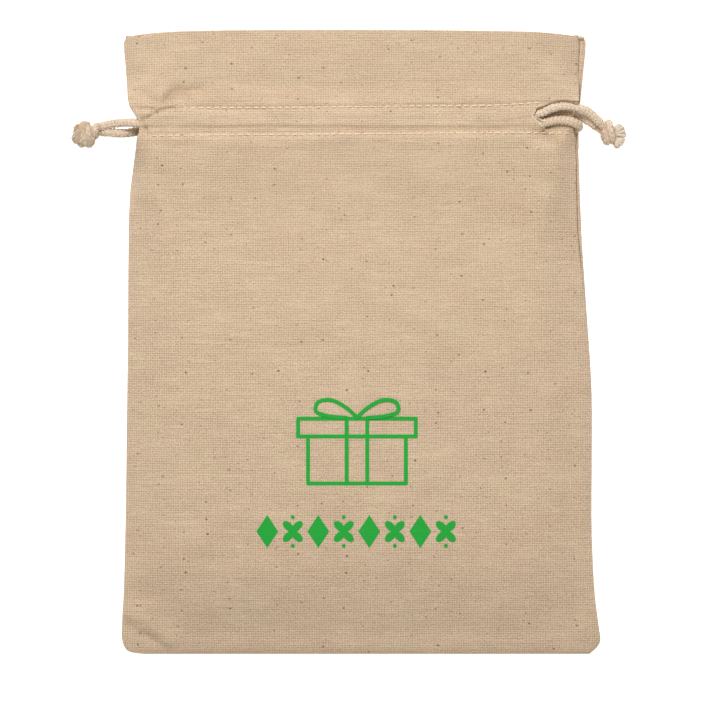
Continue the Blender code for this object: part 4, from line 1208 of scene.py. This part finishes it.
def cloth_halves(name, pts, flats, gone, front):
    """Two closed sheets that meet on the middle of the sack, with one set of normals across the join."""
    rows, cols = pts.shape[:2]
    a = pts[1:, :-1] - pts[:-1, 1:]
    b = pts[1:, 1:] - pts[:-1, :-1]
    fn = np.cross(b, a) if front else np.cross(a, b)
    fn[gone] = 0.0
    vn = np.zeros_like(pts)
    vn[:-1, :-1] += fn
    vn[:-1, 1:] += fn
    vn[1:, :-1] += fn
    vn[1:, 1:] += fn
    length = np.linalg.norm(vn, axis=2, keepdims=True)
    vn = vn / np.maximum(length, 1e-9)
    inner = pts - vn * PLY
    made = []
    mid = CENTRE + 3
    for side, c0, c1 in (("left", 0, mid), ("right", mid, cols - 1)):
        width = c1 - c0 + 1
        idx = np.arange(rows * width).reshape(rows, width)
        low = idx + rows * width
        keep = ~gone[:, c0:c1]
        quads = np.stack([idx[:-1, :-1], idx[:-1, 1:], idx[1:, 1:], idx[1:, :-1]], axis=-1)[keep]
        under = np.stack([low[:-1, :-1], low[1:, :-1], low[1:, 1:], low[:-1, 1:]], axis=-1)[keep]
        rims = []
        padded = np.zeros((rows + 1, width + 1), bool)
        padded[1:-1, 1:-1] = keep
        for di, dj, p, q in ((-1, 0, (0, 0), (0, 1)), (0, 1, (0, 1), (1, 1)), (1, 0, (1, 1), (1, 0)), (0, -1, (1, 0), (0, 0))):
            open_side = keep & ~padded[1 + di : rows + di, 1 + dj : width + dj]
            i, j = np.nonzero(open_side)
            rims.append(np.stack([idx[i + p[0], j + p[1]], low[i + p[0], j + p[1]], low[i + q[0], j + q[1]], idx[i + q[0], j + q[1]]], axis=-1))
        faces = np.concatenate([quads, under] + rims)
        if not front:
            faces = faces[:, ::-1]
        verts = np.concatenate([pts[:, c0 : c1 + 1].reshape(-1, 3), inner[:, c0 : c1 + 1].reshape(-1, 3)])
        coords = np.concatenate([flats[:, c0 : c1 + 1].reshape(-1, 3)] * 2)
        normals = np.concatenate([vn[:, c0 : c1 + 1].reshape(-1, 3), -vn[:, c0 : c1 + 1].reshape(-1, 3)])
        used = np.zeros(len(verts), bool)
        used[faces.ravel()] = True
        remap = np.cumsum(used) - 1
        faces = remap[faces]
        ob = new_mesh(f"{name}_{side}", verts[used], faces.tolist(), coords[used])
        ob.data.normals_split_custom_set_from_vertices(normals[used].tolist())
        crease_shade_values = crease_shade_lines(verts[used][:, 0], verts[used][:, 1]) if front else np.zeros(int(used.sum()))
        ob.data.attributes.new("crease", "FLOAT", "POINT").data.foreach_set("value", np.asarray(crease_shade_values, np.float32))
        ob.data.materials.append(COTTON)
        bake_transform(ob)
        made.append(ob)
    return made


FRONT_PTS, FRONT_FLAT, FRONT_GONE = ply_points(True)
BACK_PTS, BACK_FLAT, BACK_GONE = ply_points(False)
front_left, front_right = cloth_halves("front_cloth", FRONT_PTS, FRONT_FLAT, FRONT_GONE, True)
back_left, back_right = cloth_halves("back_cloth", BACK_PTS, BACK_FLAT, BACK_GONE, False)
for ob in (front_left, front_right):
    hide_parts("front_panel", "front_facing")
for ob in (back_left, back_right):
    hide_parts("back_panel", "back_facing")


def blend_half(ob):
    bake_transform(ob)


def front_at(x, y):
    return float(front_z(np.array([float(x)]), np.array([float(y)]))[0])


def back_at(x, y):
    return float(back_z(np.array([float(x)]), np.array([float(y)]))[0])


def sew(name, first, last, row, height, upward, node, fade=None):
    """A row of running stitches, as one piece for each half of the sack."""
    rng = np.random.default_rng(len(name) * 13)
    heaps = {"left": Heap(), "right": Heap()}
    k0, k1 = int(math.ceil(first / STITCH)), int(math.floor(last / STITCH))
    for k in range(k0, k1):
        a = k * STITCH + STITCH * 0.11
        b = (k + 1) * STITCH - STITCH * 0.11 + rng.normal(0, 0.06)
        mid = 0.5 * (a + b)
        if upward and abs(mid - 57.6) < 1.2 and name.startswith("front_high"):
            continue
        tilt = rng.normal(0, 0.07)
        pts = []
        sunk = 0.0 if fade is None else fade(mid)
        for t in np.linspace(0.0, 1.0, 9):
            x = a + (b - a) * t
            y = float(row(np.array([x]))[0]) + tilt * (t - 0.5)
            z = height(x, y)
            arch = math.sin(math.pi * t)
            lift = 0.26 * arch**0.5 - 0.30 * (1 - arch) ** 3 - sunk
            z = z + lift if upward else max(z - 0.10 * arch**0.5 + 0.30 * (1 - arch) ** 3, 0.23)
            pts.append((x, y, z))
        r = 0.245 * rng.uniform(0.92, 1.08)
        v, f, c = tube(pts, r * np.array([0.8, 0.95, 1, 1, 1, 1, 1, 0.95, 0.8]), 9, 0.0)
        heaps["left" if mid < 0 else "right"].take(v, f, np.clip(c + rng.uniform(-0.1, 0.15), 0, 1))
    for side, heap in heaps.items():
        ob = heap.make(f"{name}_{side}", THREAD)
        blend_half(ob)
        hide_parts(node)


def under_pucker(x):
    return 0.45 * (1.0 - float(smooth(np.array([(x + 56.0) / 6.0]))[0]))


sew("front_low_stitches", -68.4, 68.4, row_low, front_at, True, "front_lower_stitching")
sew("front_high_stitches", -57.5, 61.5, row_high, front_at, True, "front_upper_stitching", under_pucker)
sew("back_low_stitches", -68.4, 68.4, row_low, back_at, False, "back_lower_stitching")
sew("back_high_stitches", -67.5, 68.4, row_high, back_at, False, "back_upper_stitching")

# the stitched point where the front tunnel ends: threads along both sides of the flap and one across the cord
heap = Heap()
for line in (
    [(54.6, 72.15, 13.62), (55.5, 71.7, 13.62), (56.6, 70.55, 13.5), (57.7, 69.5, 13.4), (58.8, 68.45, 12.9)],
    [(54.75, 71.85, 13.6), (55.9, 70.95, 13.55), (57.0, 69.9, 13.45), (58.0, 68.95, 13.25)],
    [(54.6, 72.1, 13.62), (55.4, 71.8, 13.55), (56.5, 71.45, 12.6), (57.7, 71.0, 12.15), (58.7, 70.6, 11.3)],
    [(54.65, 72.3, 13.6), (55.5, 72.1, 13.4), (56.7, 71.75, 12.75), (57.8, 71.35, 12.2)],
    [(54.8, 71.9, 13.62), (55.15, 72.7, 13.62), (55.45, 73.5, 13.6), (55.9, 74.4, 13.5)],
    [(54.6, 72.3, 13.62), (54.9, 73.0, 13.62), (55.25, 73.9, 13.6)],
):
    pts = smooth_route(line, 0.22)
    v, f, c = tube(pts, 0.13, 8, 0.15)
    heap.take(v, f, c)
tack = heap.make("right_mouth_tack", THREAD)
blend_half(tack)
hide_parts("right_mouth_bartack")


def overlock(name, side, node, points, inward):
    """Overlocked raw edge inside the sack: thread thrown to and fro across it."""
    heap = Heap()
    pts = []
    path = smooth_route(points, 1.1)
    for k, p in enumerate(path):
        off = 0.25 if k % 2 else 1.75
        pts.append(p + np.array(inward) * off + np.array([0, 0, 0.16 * (1 if k % 2 else -1)]))
    heap.take(*tube(np.array(pts), 0.14, 5, 0.1))
    for off in (0.35, 1.0, 1.7):
        heap.take(*tube(path + np.array(inward) * off, 0.16, 6, 0.3))
    ob = heap.make(name, THREAD)
    if side is None:
        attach(ob, "sack")
    else:
        blend_half(ob)
    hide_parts(node)


Z_SEAM = 0.78
overlock("left_side_overlock", "left", "left_side_seam", [(float(left_edge(y)) + 0.75, y, Z_SEAM) for y in np.linspace(-97.0, 60.0, 24)], (1, 0, 0))
overlock("right_side_overlock", "right", "right_side_seam", [(float(right_edge(y)) - 0.75, y, Z_SEAM) for y in np.linspace(-97.0, 60.0, 24)], (-1, 0, 0))
overlock("left_header_overlock", "left", "left_header_seam", [(float(left_edge(y)) + 0.75, y, Z_SEAM) for y in np.linspace(80.0, 97.0, 6)], (1, 0, 0))
overlock("right_header_overlock", "right", "right_header_seam", [(float(right_edge(y)) - 0.75, y, Z_SEAM) for y in np.linspace(80.0, 97.0, 6)], (-1, 0, 0))
overlock("bottom_overlock", None, "bottom_seam", [(x, -99.9, Z_SEAM) for x in np.linspace(-69.0, 72.0, 20)], (0, 1, 0))


# ------------------------------------------------------------------ print: a plain gift box, and a band of ornaments in place of the words
class Print:
    """Ink shapes laid on the front ply."""

    def __init__(self):
        self.verts, self.faces, self.lift, self.level = [], [], [], 0.05

    def settle(self):
        self.lift += [self.level] * (len(self.verts) - len(self.lift))
        self.level += 0.004

    def stroke(self, points, width=1.28, closed=False, round_ends=True):
        pts = [np.array(p, float) for p in points]
        if closed:
            pts = pts + [pts[0]]
        path = [pts[0]]
        for a, b in zip(pts, pts[1:]):
            n = max(1, int(np.linalg.norm(b - a) / 0.6))
            path += [a + (b - a) * i / n for i in range(1, n + 1)]
        path = np.array(path)
        d = np.gradient(path, axis=0)
        d /= np.linalg.norm(d, axis=1)[:, None]
        side = np.stack([-d[:, 1], d[:, 0]], axis=1) * width / 2
        base = len(self.verts)
        for p, s in zip(path, side):
            for t in (-1.0, -0.5, 0.0, 0.5, 1.0):
                self.verts.append((p[0] + s[0] * t, p[1] + s[1] * t))
        for i in range(len(path) - 1):
            for j in range(4):
                a = base + i * 5 + j
                self.faces.append([a, a + 5, a + 6, a + 1])
        self.settle()
        if round_ends and not closed:
            for p in (path[0], path[-1]):
                self.disc(p, width / 2)
        for p in pts[0 if closed else 1 : -1]:
            self.disc(p, width / 2)

    def disc(self, centre, radius, ry=None, turn=0.0, n=20):
        ry = radius if ry is None else ry
        c, s = math.cos(turn), math.sin(turn)
        outline = []
        for k in range(n):
            a = 2 * math.pi * k / n
            x, y = radius * math.cos(a), ry * math.sin(a)
            outline.append((centre[0] + c * x - s * y, centre[1] + s * x + c * y))
        self.fill(outline, centre)

    def fill(self, outline, centre=None):
        o = np.array(outline, float)
        dense = []
        for a, b in zip(o, np.roll(o, -1, axis=0)):
            m = max(1, int(np.linalg.norm(b - a) / 0.7))
            dense += [a + (b - a) * i / m for i in range(m)]
        o = np.array(dense)
        c = np.array(centre[:2], float) if centre is not None else o.mean(axis=0)
        rings = max(1, int(np.linalg.norm(o - c, axis=1).max() / 0.8))
        base = len(self.verts)
        self.verts.append(tuple(c))
        n = len(o)
        for r in range(1, rings + 1):
            for p in o:
                self.verts.append(tuple(c + (p - c) * r / rings))
        for j in range(n):
            k = (j + 1) % n
            self.faces.append([base, base + 1 + j, base + 1 + k])
            for r in range(rings - 1):
                a, b = base + 1 + r * n, base + 1 + (r + 1) * n
                self.faces.append([a + j, b + j, b + k, a + k])
        self.settle()

    def make(self, name):
        v = np.array(self.verts)
        z = front_z(v[:, 0], v[:, 1]) + np.array(self.lift)
        # flat coordinates as the cloth under the print has them
        rows = FRONT_PTS[:, CENTRE + 3, 1]
        upto = int(np.argmax(rows > 60.0))
        flat_y = np.interp(v[:, 1], rows[:upto], FRONT_FLAT[:upto, CENTRE + 3, 1])
        coords = np.stack([v[:, 0], flat_y, np.zeros(len(v))], axis=1)
        faces = []
        for f in self.faces:
            p = v[f]
            area2 = sum(p[i][0] * p[(i + 1) % len(p)][1] - p[(i + 1) % len(p)][0] * p[i][1] for i in range(len(p)))
            faces.append(f if area2 > 0 else f[::-1])
        ob = new_mesh(name, np.column_stack([v, z]), faces, coords)
        ob.data.materials.append(INK)
        return ob


def curve2(points, step=0.8):
    return [(p[0], p[1]) for p in smooth_route([(x, y, 0.0) for x, y in points], step)]


art = Print()
art.stroke([(-17.0, -30.3), (-17.0, -45.4), (14.4, -45.4), (14.4, -30.3)])
art.stroke([(-20.2, -30.3), (-20.2, -24.6), (17.6, -24.6), (17.6, -30.3)], closed=True)
art.stroke([(-4.6, -24.6), (-4.6, -45.4)])
art.stroke([(2.0, -24.6), (2.0, -45.4)])
for s in (-1.0, 1.0):
    art.stroke(curve2([(-1.3, -24.2), (-1.3 + s * 3.6, -21.0), (-1.3 + s * 8.6, -18.6), (-1.3 + s * 12.6, -19.4), (-1.3 + s * 13.2, -22.2), (-1.3 + s * 9.0, -23.8), (-1.3 + s * 3.4, -24.3)]))
gift_print = art.make("gift_print")

band = Print()
for k in range(8):
    cx, cy = -34.2 + 4.1 + k * 8.19, -60.8
    if k % 2 == 0:
        band.fill([(cx, cy + 5.3), (cx + 3.5, cy), (cx, cy - 5.3), (cx - 3.5, cy)], (cx, cy))
    else:
        for q in range(4):
            a = math.radians(45 + 90 * q)
            band.disc((cx + 2.05 * math.cos(a), cy + 2.3 * math.sin(a)), 2.15, 1.25, a, 24)
        band.disc((cx, cy), 0.95)
        band.disc((cx, cy + 4.6), 0.62)
        band.disc((cx, cy - 4.6), 0.62)
band_print = band.make("ornament_print")
for ob in (gift_print, band_print):
    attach(ob, "sack")


# ------------------------------------------------------------------ floor and light
def stage_floor():
    me = bpy.data.meshes.new("floor")
    r = 3.0
    me.from_pydata([(-r, -r, 0), (r, -r, 0), (r, r, 0), (-r, r, 0)], [], [(0, 1, 2, 3)])
    ob = bpy.data.objects.new("floor", me)
    ob.location = (0, 0, -0.0002)
    bpy.context.scene.collection.objects.link(ob)
    m = bpy.data.materials.new("floor")
    m.use_nodes = True
    p = m.node_tree.nodes["Principled BSDF"]
    p.inputs["Base Color"].default_value = (0.86, 0.86, 0.86, 1)
    p.inputs["Roughness"].default_value = 0.9
    p.inputs["Specular IOR Level"].default_value = 0.1
    p.inputs["Emission Color"].default_value = (1, 1, 1, 1)
    p.inputs["Emission Strength"].default_value = 0.70
    me.materials.append(m)


stage_floor()
world = bpy.data.worlds.new("studio")
bpy.context.scene.world = world
world.use_nodes = True
bg = world.node_tree.nodes["Background"]
bg.inputs["Color"].default_value = (1.0, 0.995, 0.985, 1)
bg.inputs["Strength"].default_value = 0.42


def area(name, place, aim, size, power, colour=(1, 1, 1)):
    li = bpy.data.lights.new(name, "AREA")
    li.shape = "SQUARE"
    li.size = size
    li.energy = power
    li.color = colour
    ob = bpy.data.objects.new(name, li)
    ob.location = place
    ob.rotation_euler = (Vector(aim) - Vector(place)).to_track_quat("-Z", "Y").to_euler()
    bpy.context.scene.collection.objects.link(ob)


area("key", (-0.06, 0.36, 0.62), (0.0, 0.02, 0.0), 0.22, 3.6, (1.0, 0.99, 0.975))
area("fill", (0.5, 0.1, 0.9), (0.0, 0.0, 0.0), 0.8, 0.5, (0.98, 0.99, 1.0))

scene = bpy.context.scene
scene.view_settings.view_transform = "Standard"
scene.view_settings.look = "None"
scene.view_settings.exposure = 0.0
scene.view_settings.gamma = 1.0
